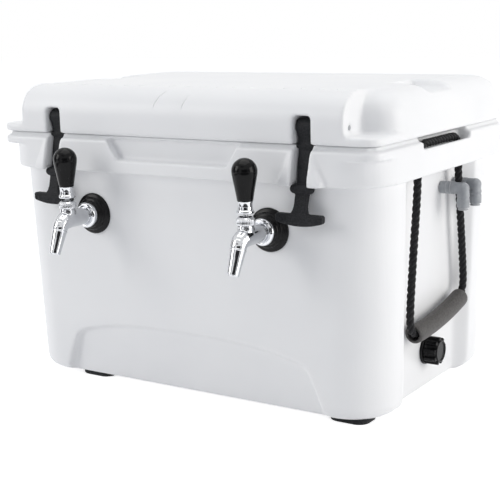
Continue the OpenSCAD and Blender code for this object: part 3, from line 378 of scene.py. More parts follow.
# Chest: one rotomoulded double wall of white polyethylene. Here its outer walls,
# softened everywhere to the radius that the mould gives. A pin or a seat is (y, z).
case_w, case_d, case_corner = 0.604, 0.414, 0.062
ear_corner, rear_corner = 0.024, 0.030
sole_z, rim_z, lid_z = 0.007, 0.309, 0.360
hinge_x, hinge_half, hinge_pin = 0.17, 0.030, (0.217, 0.357)
latch_x, latch_pin, pin_r = 0.2, (-0.189, 0.381), 0.0031
bulb_seat = (-0.2050, 0.3060)
plastic, plastic_tree, plastic_shader = base_material("white_polyethylene", (0.86, 0.865, 0.875), 0.38)
orange_peel = noise(plastic_tree, 260, 4.0)
cloud = noise(plastic_tree, 7, 2.0)
tint(plastic_tree, plastic_shader, cloud.outputs["Fac"], (0.845, 0.85, 0.862), (0.872, 0.876, 0.884))
bump(plastic_tree, plastic_shader, orange_peel.outputs["Fac"], 0.10, 0.0004)
plastic_shader.inputs["Specular IOR Level"].default_value = 0.42


def block(width, depth, low, high, corner, draft=0.0, foot=0.0, top=0.0, rear_radius=None, at=(0, 0)):
    """A block with rounded upright corners, and rounded foot or top edges."""
    solid = bmesh.new()
    bmesh.ops.create_cube(solid, size=1)
    bmesh.ops.scale(solid, vec=(width, depth, high - low), verts=solid.verts)
    bmesh.ops.translate(solid, vec=(at[0], at[1], (low + high) / 2), verts=solid.verts)
    shrink = (high - low) * math.tan(math.radians(draft))
    for v in solid.verts:
        if v.co.z < (low + high) / 2:
            v.co.x -= math.copysign(shrink, v.co.x - at[0])
            v.co.y -= math.copysign(shrink, v.co.y - at[1])
    upright = [e for e in solid.edges if abs(e.verts[0].co.z - e.verts[1].co.z) > (high - low) / 2]
    for rear in (False, True):
        radius = rear_radius if rear and rear_radius else corner
        chosen = [e for e in upright if e.is_valid and (e.verts[0].co.y > at[1]) == rear]
        if radius:
            bmesh.ops.bevel(solid, geom=chosen, offset=radius, offset_type="OFFSET", segments=14, profile=0.5,
                            affect="EDGES", material=-1)
    for radius, level in ((foot, low), (top, high)):
        if radius:
            rim = [e for e in solid.edges if all(abs(v.co.z - level) < 1e-6 for v in e.verts)]
            bmesh.ops.bevel(solid, geom=rim, offset=radius, offset_type="OFFSET", segments=8, profile=0.5,
                            affect="EDGES", material=-1, clamp_overlap=True)
    return solid


def prism(points, axis, start, end):
    """An outline drawn in the plane across an axis, drawn out from start to end."""
    solid = bmesh.new()
    across_axis = "XYZ".index(axis)
    face = solid.faces.new([solid.verts.new((*p[:across_axis], start, *p[across_axis:])) for p in points])
    out = bmesh.ops.extrude_face_region(solid, geom=[face])
    way = Vector([float(i == across_axis) for i in range(3)])
    bmesh.ops.translate(solid, vec=way * (end - start),
                        verts=[g for g in out["geom"] if isinstance(g, bmesh.types.BMVert)])
    bmesh.ops.recalc_face_normals(solid, faces=solid.faces)
    return solid


def rod(radius, start, end, steps=32, end_radius=None):
    """A round bar from one point to another."""
    a, b = Vector(start), Vector(end)
    solid = bmesh.new()
    bmesh.ops.create_cone(solid, cap_ends=True, segments=steps, radius1=radius,
                          radius2=radius if end_radius is None else end_radius, depth=(b - a).length)
    turned_to = (b - a).to_track_quat("Z", "Y").to_matrix().to_4x4()
    bmesh.ops.transform(solid, matrix=Matrix.Translation((a + b) / 2) @ turned_to, verts=solid.verts)
    return solid


def ball(radius, center, around=32, rings=20):
    """A round ball."""
    solid = bmesh.new()
    bmesh.ops.create_uvsphere(solid, u_segments=around, v_segments=rings, radius=radius)
    bmesh.ops.translate(solid, vec=center, verts=solid.verts)
    return solid


def together(*parts):
    """Several solids in one mesh."""
    mesh = bpy.data.meshes.new("together")
    all_parts = bmesh.new()
    for part in parts:
        part.to_mesh(mesh)
        all_parts.from_mesh(mesh)
        part.free()
    all_parts.to_mesh(mesh)
    all_parts.free()
    return mesh


def moulded(name, solid, cuts, voxel, passes):
    """Overlapping solids, less the cuts, remeshed finely and smoothed like a moulding."""
    maker = bpy.data.objects.new(name, solid)
    scene.collection.objects.link(maker)
    done = [maker]
    if cuts is not None:
        cutter = bpy.data.objects.new("cutter", cuts)
        scene.collection.objects.link(cutter)
        done.append(cutter)
        cut = maker.modifiers.new("cut", "BOOLEAN")
        cut.operation, cut.solver, cut.object, cut.use_self = "DIFFERENCE", "EXACT", cutter, True
    remesh = maker.modifiers.new("remesh", "REMESH")
    remesh.mode, remesh.voxel_size = "VOXEL", voxel
    soft = maker.modifiers.new("soft", "SMOOTH")
    soft.factor, soft.iterations = 0.5, passes
    mesh = bpy.data.meshes.new_from_object(maker.evaluated_get(bpy.context.evaluated_depsgraph_get()))
    for spent in done:
        bpy.data.objects.remove(spent)
    return mesh


arch_top, arch_half = 0.093, 0.190
arch_right = [(arch_half * k / 8, arch_top - 0.020 * (k / 8) ** 3) for k in range(1, 8)]
arch_right += [(0.170 + 0.028 * math.cos(math.radians(b)), 0.050 + 0.028 * math.sin(math.radians(b)))
               for b in range(83, 22, -10)]
arch_right += [(0.216, sole_z), (0.216, 0.004)]
arch = [(-x, z) for x, z in reversed(arch_right)] + [(0, arch_top)] + arch_right
wall_w, wall_d, wall_top = 0.592, 0.390, 0.330
wall = block(wall_w, wall_d, sole_z, wall_top, case_corner, draft=1.5, foot=0.016)
arch_cut = prism(arch, "Y", -0.26, -0.15)
panel_foot_y, panel_slope = -0.1722, math.atan2(0.0102, 0.086)
for v in arch_cut.verts:
    if v.co.y > -0.2:
        v.co.y = panel_foot_y - (v.co.z - sole_z) * math.tan(panel_slope)
side_panel_x = 0.2708
side_panel = [(-0.088, 0), (-0.112, 0.0255), (-0.124, 0.040), (0.124, 0.040), (0.112, 0.0255), (0.088, 0)]
side_cuts = [prism([(sign * (side_panel_x + x), y) for y, x in side_panel], "Z", -0.02, 0.36) for sign in (-1, 1)]
front_foot = prism([(-0.172, sole_z), (-0.120, sole_z), (-0.120, 0.080), (-0.181, 0.080)], "X", -0.213, 0.213)
side_foot = [(0.2678, sole_z), (0.2100, sole_z), (0.2100, 0.060), (0.2684, 0.060)]
side_feet = [prism([(sign * x, z) for x, z in side_foot], "Y", -0.096, 0.096) for sign in (-1, 1)]
carved = bmesh.new()
carved.from_mesh(moulded("carved", together(wall), together(arch_cut, *side_cuts), voxel=0.0028, passes=0))
wall_mesh = moulded("chest_walls", together(carved, front_foot, *side_feet), None, voxel=0.0026, passes=3)
opened = bmesh.new()
opened.from_mesh(wall_mesh)
under_rim = 0.3275
bmesh.ops.delete(opened, geom=[f for f in opened.faces if f.calc_center_median().z > under_rim], context="FACES")
opened.to_mesh(wall_mesh)
opened.free()
chest = piece("chest_walls", wall_mesh, plastic)
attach(chest, "root")
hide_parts("body_shell")

# Chest rim: the same moulding's thick band, with thin ears that square its front
# corners, a finger recess, a channel with two cheeks for each latch, and knuckles.
band = block(case_w, case_d, rim_z, 0.3525, case_corner, top=0.004, rear_radius=rear_corner)
ears = block(case_w, case_d, 0.343, 0.354, ear_corner, top=0.0035, rear_radius=rear_corner)
channel_w, cheek_gap, bulb_seat_r = 0.023, 0.0115, 0.0068
knuckle_r, knuckle_back = 0.010, 0.227
rim_knuckle = [(0.204, 0.313), (0.208, 0.313), (knuckle_back, 0.351), (knuckle_back, 0.357), (0.211, 0.357),
               (0.205, 0.352)]
knuckles, cheeks, channels = [], [], []
for sign in (-1, 1):
    from_x, to_x = sign * hinge_x - hinge_half, sign * hinge_x + hinge_half
    knuckles.append(rod(knuckle_r, (from_x, *hinge_pin), (to_x, *hinge_pin)))
    knuckles.append(prism(rim_knuckle, "X", from_x, to_x))
    middle_x = sign * latch_x
    channels.append(block(channel_w, 0.050, 0.300, 0.370, 0, at=(middle_x, -0.215)))
    channels.append(rod(bulb_seat_r, (middle_x - 0.0182, *bulb_seat), (middle_x + 0.0182, *bulb_seat), 28))
    for edge in (-1, 1):
        inner = middle_x + edge * cheek_gap
        fan = bmesh.new()
        foot = [(inner, -0.218), (inner + edge * 0.018, -0.216), (inner + edge * 0.021, -0.206),
                (inner + edge * 0.021, -0.200), (inner, -0.200)]
        crown = [(inner, -0.2085), (inner + edge * 0.003, -0.2080), (inner + edge * 0.005, -0.2065),
                 (inner + edge * 0.005, -0.200), (inner, -0.200)]
        loops = []
        for level, ring in ((0.3092, foot), (0.316, foot), (0.350, crown)):
            verts = [fan.verts.new((a, b, level)) for a, b in ring]
            loops.append([fan.edges.new((verts[k], verts[(k + 1) % len(ring)])) for k in range(len(ring))])
        bmesh.ops.bridge_loops(fan, edges=loops[0] + loops[1])
        bmesh.ops.bridge_loops(fan, edges=loops[1] + loops[2])
        bmesh.ops.holes_fill(fan, edges=fan.edges, sides=8)
        bmesh.ops.recalc_face_normals(fan, faces=fan.faces)
        cheeks.append(fan)
land_w, land_low, land_top = 0.014, 0.350, 0.3592
lands = [block(0.578, land_w, land_low, land_top, 0.005, at=(0, edge * 0.1925)) for edge in (-1, 1)]
lands += [block(land_w, 0.385, land_low, land_top, 0.005, at=(edge * 0.2875, 0)) for edge in (-1, 1)]
tub_w, tub_d, tub_corner = 0.480, 0.300, 0.034
tub_hole = block(tub_w, tub_d, 0.290, 0.372, tub_corner)
finger = prism([(-0.1075, 0.356), (-0.089, 0.327), (0.089, 0.327), (0.1075, 0.356)], "Y", -0.215, -0.194)
slot_d, rope_hole_r = 0.150, 0.007
slots = []
for sign in (-1, 1):
    slots.append(block(0.034, slot_d, 0.344, 0.366, 0, at=(sign * 0.298, 0)))
    slots.append(block(0.014, slot_d, 0.332, 0.366, 0.006, at=(sign * rope_x, 0)))
    for edge in (-1, 1):
        hole = (sign * rope_x, edge * rope_hole_y)
        slots.append(rod(rope_hole_r, (*hole, 0.300), (*hole, 0.352)))
rim_mesh = moulded("chest_rim", together(band, ears, *lands, *knuckles, *cheeks),
                   together(tub_hole, finger, *channels, *slots), voxel=0.0022, passes=4)
rim = piece("chest_rim", rim_mesh, plastic)
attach(rim, "root")

# Ice tub: the moulding's smooth inner skin, drafted, with round corners.
tub = block(tub_w, tub_d, 0.049, 0.3095, tub_corner, draft=1.6, foot=0.028)
bmesh.ops.delete(tub, geom=[f for f in tub.faces if f.normal.z > 0.9], context="FACES")
bmesh.ops.reverse_faces(tub, faces=tub.faces)
tub_mesh = as_mesh("tub", tub)
for polygon in tub_mesh.polygons:
    polygon.use_smooth = True
tub_mesh.materials.append(plastic)
liner = bpy.data.objects.new("tub_liner", tub_mesh)
scene.collection.objects.link(liner)
liner_wall = liner.modifiers.new("wall", "SOLIDIFY")
liner_wall.thickness, liner_wall.offset = 0.004, -1
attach(liner, "root")

# Lid: a second moulding, with a full-depth middle block whose front rolls over in
# a wide radius, set-back rounded ends, thin ears, and a groove for a strap each side.
roll_y, roll_z, roll_r, lid_top = -0.169, 0.386, 0.038, 0.424
front_roll = [(-0.207, 0.3605), (-0.207, roll_z)]
front_roll += [(roll_y - roll_r * math.cos(math.radians(b)), roll_z + roll_r * math.sin(math.radians(b)))
               for b in range(9, 91, 9)]
front_roll += [(0.0, lid_top), (0.150, lid_top), (0.150, 0.3605)]
middle = prism(front_roll, "X", -0.258, 0.258)
ends = block(0.6035, 0.3695, 0.362, 0.4224, 0.042, top=0.037, at=(0, 0.022))
brim = block(case_w, case_d, lid_z, 0.371, ear_corner, top=0.003, rear_radius=rear_corner)
plug = block(0.472, 0.292, 0.346, 0.362, 0.030)
pocket_w, knuckle_start, knuckle_room = 0.025, 0.031, 0.011
lid_knuckle = [(0.203, 0.386), (0.208, 0.386), (knuckle_back, 0.365), (knuckle_back, 0.357), (0.217, 0.357),
               (0.205, 0.361)]
strap_groove = [(-0.043, 0.430), (-0.033, 0.412), (0.033, 0.412), (0.043, 0.430)]
lid_knuckles, pockets = [], []
for sign in (-1, 1):
    for edge in (-1, 1):
        from_x = sign * hinge_x + edge * knuckle_start
        to_x = from_x + edge * hinge_half
        lid_knuckles.append(rod(knuckle_r, (from_x, *hinge_pin), (to_x, *hinge_pin)))
        lid_knuckles.append(prism(lid_knuckle, "X", from_x, to_x))
    pockets.append(block(pocket_w, 0.060, 0.340, 0.3945, 0, at=(sign * latch_x, -0.2076)))
    pockets.append(prism(strap_groove, "X", sign * 0.232, sign * 0.31))
    pockets.append(rod(knuckle_room, (sign * hinge_x - knuckle_start, *hinge_pin),
                       (sign * hinge_x + knuckle_start, *hinge_pin)))
    pockets.append(rod(pin_r, (sign * 0.19, *latch_pin), (sign * 0.27, *latch_pin), 16))
lid_mesh = moulded("lid", together(middle, ends, brim, plug, *lid_knuckles), together(*pockets), voxel=0.0027,
                   passes=4)
lid = piece("lid_moulding", lid_mesh, plastic)
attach(lid, "lid")
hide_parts("lid_shell")

# Ruler and mould lines: 21 short raised strokes, an inch apart, along the lid's
# front edge, and two fine curved ridges on the roll under them, all in the moulding.
inch, stroke, stroke_y, stroke_z = 0.0254, (0.0026, 0.013, 0.0020), -0.1600, 0.4235
strokes = bmesh.new()
for k in range(-10, 11):
    made = bmesh.ops.create_cube(strokes, size=1)["verts"]
    bmesh.ops.scale(strokes, vec=stroke, verts=made)
    bmesh.ops.translate(strokes, vec=(inch * k, stroke_y, stroke_z), verts=made)
bmesh.ops.bevel(strokes, geom=list(strokes.edges), offset=0.0006, offset_type="OFFSET", segments=3, profile=0.5,
                affect="EDGES", material=-1)
ruler = piece("lid_ruler_marks", as_mesh("strokes", strokes), plastic)
ridge_r, ridge_steps, first_angle = 0.0374, 24, 14
swelling = [0.0004 + 0.0011 * math.sin(math.pi * k / ridge_steps) for k in range(ridge_steps + 1)]
ridges = bmesh.new()
for from_x, to_x, last_angle in ((-0.025, -0.012, 68), (0.0205, 0.0270, 56)):
    line = []
    for k in range(ridge_steps + 1):
        t = k / ridge_steps
        b = math.radians(first_angle + (last_angle - first_angle) * t)
        line.append(Vector((from_x + (to_x - from_x) * t * t, roll_y - ridge_r * math.cos(b),
                            roll_z + ridge_r * math.sin(b))))
    ridges.from_mesh(tube_along("ridge", line, swelling, sides=3))
mould_lines = piece("lid_mould_lines", as_mesh("ridges", ridges), plastic)
for mark in (ruler, mould_lines):
    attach(mark, "lid")

# Feet: four black rubber pads with rounded corners, each held by one screw.
rubber = grained("black_rubber", (0.013, 0.013, 0.014), 0.5, (0.014, 0.0145, 0.016), (0.030, 0.031, 0.034),
                 (600, 4.0), (0.25, 0.0003), specular=0.10)
pad_w, pad_d, pad_h, pad_corner, screw_hole_r = 0.056, 0.044, 0.0075, 0.016, 0.006
for row, y in (("front", -0.146), ("rear", 0.146)):
    for side, x in (("left", -0.181), ("right", 0.236)):
        pad = block(pad_w, pad_d, 0.0, pad_h, pad_corner, foot=0.0022, at=(x, y))
        screw_hole = rod(screw_hole_r, (x, y, -0.002), (x, y, 0.004))
        pad_mesh = moulded("pad", together(pad), together(screw_hole), voxel=0.0009, passes=2)
        foot_pad = piece(f"foot_pad_{row}_{side}", pad_mesh, rubber)
        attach(foot_pad, "root")
        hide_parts(f"foot_{row}_{side}")

# Latches: one-piece rubber straps. Each turns on a steel pin in the lid, runs down
# its channel, hooks a bulb under the cheeks and ends in a T-shaped pull.
eye_r, eye_half, eye_axis = 0.0105, 0.0110, (-0.1902, 0.3812)
bulb_r, bulb_half, bar_half, strap_half = 0.0060, 0.0108, 0.0330, 0.0084
strap_side = [(-0.1995, 0.384), (-0.190, 0.384), (-0.1885, 0.366), (-0.1885, 0.352), (-0.1940, 0.322),
              (-0.1985, 0.304), (-0.2085, 0.274), (-0.2155, 0.274), (-0.2060, 0.304), (-0.2025, 0.322),
              (-0.1962, 0.352), (-0.1962, 0.366), (-0.1990, 0.376)]
flare = [(0.0145, 0.2735), (0.0112, 0.2775), (0.0094, 0.2815), (0.0086, 0.2870), (0.0088, 0.3030)]
stem_lean = (Matrix.Translation((0, -0.212, 0.274)) @ Matrix.Rotation(-0.26, 4, "X")
             @ Matrix.Translation((0, 0.212, -0.274)))
for side, sign in (("left", -1), ("right", 1)):
    x = sign * latch_x
    eye = rod(eye_r, (x - eye_half, *eye_axis), (x + eye_half, *eye_axis), 44)
    strap = prism(strap_side, "X", -strap_half, strap_half)
    for v in strap.verts:
        v.co.x = x + v.co.x * (1 + 0.25 * min(1, max(0, (v.co.z - 0.318) / 0.050)))
    bulb = rod(bulb_r, (x - bulb_half, *bulb_seat), (x + bulb_half, *bulb_seat), 28)
    bulb_ends = [ball(bulb_r, (x + edge * bulb_half, *bulb_seat), 24, 16) for edge in (-1, 1)]
    stop = block(0.029, 0.007, 0.3550, 0.3590, 0.001, at=(x, -0.1935))
    under = [(x + 0.0315 * k / 6, 0.2612 + 0.0046 * (k / 6) ** 2) for k in range(-6, 7)]
    bar = prism([(x - bar_half, 0.2745), (x - bar_half, 0.2680)] + under
                + [(x + bar_half, 0.2680), (x + bar_half, 0.2745), (x + 0.0315, 0.2763), (x - 0.0315, 0.2763)],
                "Y", -0.2168, -0.2076)
    stem = prism([(x + a, b) for a, b in flare] + [(x - a, b) for a, b in reversed(flare)], "Y", -0.2154, -0.2082)
    bmesh.ops.transform(stem, matrix=stem_lean, verts=stem.verts)
    lip = block(0.052, 0.0112, 0.2662, 0.2716, 0.0026, at=(x, -0.212))
    pin_hole = rod(pin_r, (x - 0.02, *latch_pin), (x + 0.02, *latch_pin), 20)
    pull = moulded("latch", together(eye, strap, bulb, *bulb_ends, stop, bar, stem, lip), together(pin_hole),
                   voxel=0.0010, passes=3)
    latch = piece(f"latch_{side}_strap", pull, rubber)
    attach(latch, f"latch_{side}")
    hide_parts(f"latch_{side}")

# Taps: chromed brass bodies, each screwed by a coupling nut to a shank through the
# wall, with a stepped black flange, a tilted spout, and a knurled collar on top.
chrome = grained("polished_chrome", (0.62, 0.63, 0.65), 0.06, (0.585, 0.595, 0.62), (0.655, 0.665, 0.685),
                 (55, 3.0), (0.02, 0.0003), metallic=1.0)
satin_black = grained("satin_black_nylon", (0.007, 0.007, 0.008), 0.20, (0.005, 0.005, 0.0055),
                      (0.010, 0.010, 0.011), (500, 4.0), (0.07, 0.0002), specular=0.14)
gloss_black = grained("gloss_black_handle", (0.010, 0.010, 0.011), 0.11, (0.0035, 0.0035, 0.004),
                      (0.0065, 0.0065, 0.007), (38, 2.0), (0.05, 0.0006), specular=0.14)
steel = grained("brushed_stainless", (0.50, 0.51, 0.53), 0.28, (0.42, 0.43, 0.45), (0.58, 0.59, 0.61),
                (300, 3.0, (1, 1, 0.06)), (0.12, 0.0002), metallic=1.0)
facing_back = Matrix.Rotation(-math.pi / 2, 4, "X")
tap_x, tap_z, handle_y, collar_z = 0.144, 0.249, -0.24693, 0.2645
spout_tilt, spout_seam = math.radians(23), (-0.26493, 0.237)
spout_place = Matrix.Translation((0, *spout_seam)) @ Matrix.Rotation(math.pi - spout_tilt, 4, "X")


def eased(profile, radius, steps=3):
    """A ring profile with its corners rounded by the given radius."""
    soft = []
    points = [Vector(p) for p in profile]
    for i, p in enumerate(points):
        before, after = points[i - 1], points[(i + 1) % len(points)]
        if i in (0, len(points) - 1):
            soft.append(tuple(p))
            continue
        back, on = before - p, after - p
        reach = min(radius, back.length * 0.45, on.length * 0.45)
        start, end = p + back.normalized() * reach, p + on.normalized() * reach
        for k in range(steps + 1):
            t = k / steps
            soft.append(tuple((1 - t) ** 2 * start + 2 * t * (1 - t) * p + t * t * end))
    return soft


def turned(name, profile, place, material, body, nodes, slot, steps, radius):
    """A lathe-turned piece put in its place, riding on its body."""
    mesh = lathe(name, eased(profile, radius), steps)
    mesh.transform(place)
    made = piece(name, mesh, material)
    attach(made, body)
    if nodes:
        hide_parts(*nodes)
    return made


steps_profile = [(0.0112, 0.0), (0.0112, 0.013), (0.0285, 0.013), (0.0285, 0.0095), (0.0272, 0.0078),
                 (0.0232, 0.0068), (0.0224, 0.0042), (0.0212, 0.0030), (0.0190, 0.0026), (0.0178, 0.0),
                 (0.0112, 0.0)]
ring_profile = [(0.01205, 0.0), (0.0150, 0.0), (0.0168, 0.0014), (0.0175, 0.0030), (0.0175, 0.0088),
                (0.0170, 0.0100), (0.0112, 0.0100), (0.0112, 0.0059), (0.01205, 0.0059), (0.01205, 0.0)]
spout_profile = [(0.0055, 0.0), (0.0100, 0.0), (0.0104, 0.0007), (0.0104, 0.0017), (0.0098, 0.0022),
                 (0.0090, 0.012), (0.0080, 0.026), (0.0076, 0.0318), (0.0073, 0.033), (0.0060, 0.033),
                 (0.0055, 0.0322), (0.0055, 0.0)]
collar_profile = [(0.0084, 0.0), (0.0110, 0.0), (0.0115, 0.0006), (0.0115, 0.0068), (0.0110, 0.0076),
                  (0.0095, 0.0096), (0.0088, 0.0100), (0.0084, 0.0100), (0.0084, 0.0)]
knurls, knurl_depth = 36, 0.00028
ferrule_profile = [(0.0031, 0.0), (0.0100, 0.0), (0.0108, 0.0007), (0.0110, 0.0020), (0.0108, 0.0034),
                   (0.0100, 0.0042), (0.0094, 0.0050), (0.0092, 0.0090), (0.0094, 0.0140), (0.0100, 0.0153),
                   (0.0031, 0.0153), (0.0031, 0.0)]
dome_r, dome_z = 0.0160, 0.0365
knob_profile = [(0.0, 0.0), (0.0090, 0.0), (0.0097, 0.0003), (0.0101, 0.0010), (0.0105, 0.0040),
                (0.0117, 0.0110), (0.0132, 0.0190), (0.0148, 0.0275), (0.0157, 0.0325)]
knob_profile += [(dome_r * math.cos(math.radians(b)), dome_z + dome_r * math.sin(math.radians(b)))
                 for b in range(0, 91, 6)]
# The body's bend, as balls: each one's way forward and up from the handle's axis, and its radius.
bend_balls = [(0, 0, 0.0122), (-0.004, -0.0005, 0.0121), (-0.008, -0.0012, 0.0118), (-0.012, -0.0028, 0.0112),
              (-0.0150, -0.0060, 0.0107), (-0.0170, -0.0090, 0.0104)]
for side, sign in (("left", -1), ("right", 1)):
    x = sign * tap_x
    turned(f"shank_flange_{side}_steps", steps_profile, Matrix.Translation((x, -0.20443, tap_z)) @ facing_back,
           satin_black, "root", [f"shank_flange_{side}"], "drain_black", steps=96,
           radius=0.0008)
    turned(f"coupling_nut_{side}_ring", ring_profile, Matrix.Translation((x, -0.21443, tap_z)) @ facing_back,
           chrome, "root", [f"coupling_nut_{side}"], "chrome_plate", steps=96,
           radius=0.0004)
    barrel = rod(0.0119, (x, handle_y, tap_z), (x, -0.20880, tap_z), 48)
    neck = rod(0.0104, (x, handle_y, tap_z), (x, handle_y, collar_z), 40)
    shoulders = [ball(radius, (x, handle_y + forward, tap_z + up)) for forward, up, radius in bend_balls]
    down = Vector((0, -math.sin(spout_tilt), -math.cos(spout_tilt)))
    seam = Vector((x, *spout_seam))
    throat = rod(0.0103, seam - down * 0.010, seam - down * 0.0004, 48, 0.0102)
    rear_lip = rod(0.0122, (x, -0.2105, tap_z), (x, -0.2140, tap_z), 48)
    hollow = rod(0.0094, (x, -0.2145, tap_z), (x, -0.2040, tap_z), 40)
    socket = rod(0.0077, (x, handle_y, tap_z), (x, handle_y, 0.2660), 40)
    mouth = rod(0.0052, seam - down * 0.006, seam + down * 0.002, 32)
    casting = moulded("tap", together(barrel, neck, throat, rear_lip, *shoulders),
                      together(hollow, socket, mouth), voxel=0.0005, passes=40)
    tap = piece(f"tap_body_{side}_casting", casting, chrome)
    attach(tap, "root")
    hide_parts(f"tap_body_{side}")
    turned(f"tap_nozzle_{side}_spout", spout_profile, Matrix.Translation((x, 0, 0)) @ spout_place, chrome, "root",
           [f"tap_nozzle_{side}"], "chrome_plate", steps=64, radius=0.0006)
    collar = lathe("collar", eased(collar_profile, radius=0.0003), steps=144)
    knurled = bmesh.new()
    knurled.from_mesh(collar)
    for v in knurled.verts:
        reach = math.hypot(v.co.x, v.co.y)
        if reach > 0.0108 and 0.0002 < v.co.z < 0.0074:
            swell = 1 + knurl_depth / reach * math.cos(knurls * math.atan2(v.co.y, v.co.x))
            v.co.x, v.co.y = v.co.x * swell, v.co.y * swell
    knurled.to_mesh(collar)
    knurled.free()
    collar.transform(Matrix.Translation((x, handle_y, collar_z)))
    bonnet = piece(f"tap_collar_{side}_knurl", collar, chrome)
    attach(bonnet, "root")
    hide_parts(f"tap_collar_{side}")
    turned(f"lever_ferrule_{side}_turned", ferrule_profile, Matrix.Translation((x, handle_y, 0.2786)), chrome,
           f"lever_{side}", [f"lever_ferrule_{side}"], "chrome_plate", steps=64, radius=0.0006)
    knob = lathe("knob", knob_profile, steps=64)
    knob.transform(Matrix.Translation((x, handle_y, 0.2941)))
    handle = piece(f"tap_knob_{side}_handle", knob, gloss_black)
    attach(handle, f"lever_{side}")
    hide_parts(f"tap_knob_{side}")

# Inlets: two grey push-fit elbows on stems through the side wall, with moulded rings
# round both arms, and a paler release collar in each lower mouth.
acetal = grained("grey_acetal", (0.29, 0.305, 0.325), 0.36, (0.265, 0.28, 0.30), (0.32, 0.335, 0.355),
                 (120, 3.0), (0.10, 0.0003))
pale_acetal = grained("pale_grey_acetal", (0.42, 0.43, 0.45), 0.38, (0.38, 0.39, 0.41), (0.46, 0.47, 0.49),
                      (150, 3.0), (0.10, 0.0003))
elbow_x, inlet_z = 0.303675, 0.278
inlets = (("front", 0.046), ("back", 0.088))
arm_start, drop_end, arm_r, bead_r = 0.2712, 0.2522, 0.0080, 0.0086
arm_beads = [(arm_start, 0.0075), (0.2815, 0.0032), (0.2880, 0.0032)]
drop_beads = [(0.2695, 0.0030), (0.2635, 0.0113)]
bore_r, bore_end = 0.0032, 0.250
facing_out = Matrix.Rotation(math.pi / 2, 4, "Y")
collet_profile = [(0.0049, 0.0005), (0.0053, 0.0), (0.0066, 0.0), (0.0070, 0.0004), (0.0070, 0.0012),
                  (0.0066, 0.0016), (0.0063, 0.0018), (0.0063, 0.0060), (0.0049, 0.0060), (0.0049, 0.0005)]
band_profile = [(0.0079, 0.0), (0.0086, 0.0), (0.0087, 0.0003), (0.0087, 0.0008), (0.0086, 0.0011),
                (0.0079, 0.0011), (0.0079, 0.0)]
for place, y in inlets:
    corner = (elbow_x, y, inlet_z)
    arm = rod(arm_r, (arm_start, y, inlet_z), corner, 40)
    drop = rod(arm_r, corner, (elbow_x, y, drop_end), 40)
    heel = ball(0.0083, corner)
    beads = [rod(bead_r, (start, y, inlet_z), (start + length, y, inlet_z), 40) for start, length in arm_beads]
    beads += [rod(bead_r, (elbow_x, y, start), (elbow_x, y, start - length), 40) for start, length in drop_beads]
    bores = [rod(0.00485, (0.265, y, inlet_z), (0.2900, y, inlet_z), 32),
             rod(bore_r, (0.2880, y, inlet_z), corner, 24),
             rod(bore_r, corner, (elbow_x, y, bore_end), 24),
             rod(0.0049, (elbow_x, y, 0.2690), (elbow_x, y, bore_end), 32),
             rod(0.00635, (elbow_x, y, 0.2590), (elbow_x, y, bore_end), 32)]
    elbow_mesh = moulded("elbow", together(arm, drop, heel, *beads), together(*bores), voxel=0.00065, passes=3)
    elbow = piece(f"inlet_elbow_{place}_body", elbow_mesh, acetal)
    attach(elbow, f"elbow_{place}")
    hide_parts(f"inlet_elbow_{place}")
    turned(f"collet_{place}_ring", collet_profile, Matrix.Translation((elbow_x, y, 0.2485)), pale_acetal,
           f"collet_{place}", [f"collet_{place}"], "collet_grey", steps=48, radius=0.0002)
    for number, start in enumerate((0.2803, 0.2866)):
        turned(f"elbow_{place}_band_{number}", band_profile, Matrix.Translation((start, y, inlet_z)) @ facing_out,
               pale_acetal, f"elbow_{place}", None, "collet_grey", steps=48, radius=0.0001)

# Drain: a black threaded fitting through the side wall, closed by a ribbed cap with
# a recessed face.
drain_z = 0.060
flange_profile = [(0.0080, -0.0380), (0.0110, -0.0380), (0.0110, 0.0020), (0.0198, 0.0020), (0.0205, 0.0028),
                  (0.0205, 0.0046), (0.0194, 0.0060), (0.0110, 0.0060), (0.0110, 0.0160), (0.0080, 0.0160),
                  (0.0080, -0.0380)]
drain_panel_x = 0.26839
turned("drain_fitting_flange", flange_profile, Matrix.Translation((drain_panel_x, 0, drain_z)) @ facing_out,
       satin_black, "root", ["drain_fitting"], "drain_black", steps=72, radius=0.0005)
cap_start, cap_end, ribs = 0.27480, 0.29480, 9
cap_parts = [rod(0.0152, (cap_start, 0, drain_z), (cap_end - 0.0004, 0, drain_z), 64, 0.0150),
             rod(0.0172, (cap_start, 0, drain_z), (cap_start + 0.0022, 0, drain_z), 64)]
cap_middle, rib_out = Matrix.Translation((cap_start + 0.0090, 0, drain_z)), Matrix.Translation((0, 0, 0.0130))
for k in range(ribs):
    rib = block(0.0176, 0.0062, 0.0, 0.0062, 0.0010, top=0.0016)
    rib_place = cap_middle @ Matrix.Rotation(math.tau * k / ribs, 4, "X") @ rib_out
    bmesh.ops.transform(rib, matrix=rib_place, verts=rib.verts)
    cap_parts.append(rib)
cap_cuts = [rod(0.0114, (cap_start - 0.002, 0, drain_z), (cap_start + 0.0140, 0, drain_z), 48),
            rod(0.0125, (cap_end - 0.0022, 0, drain_z), (cap_end + 0.002, 0, drain_z), 48)]
cap_mesh = moulded("cap", together(*cap_parts), together(*cap_cuts), voxel=0.0007, passes=3)
cap = piece("drain_cap_ribbed", cap_mesh, satin_black)
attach(cap, "drain_cap")
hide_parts("drain_cap")

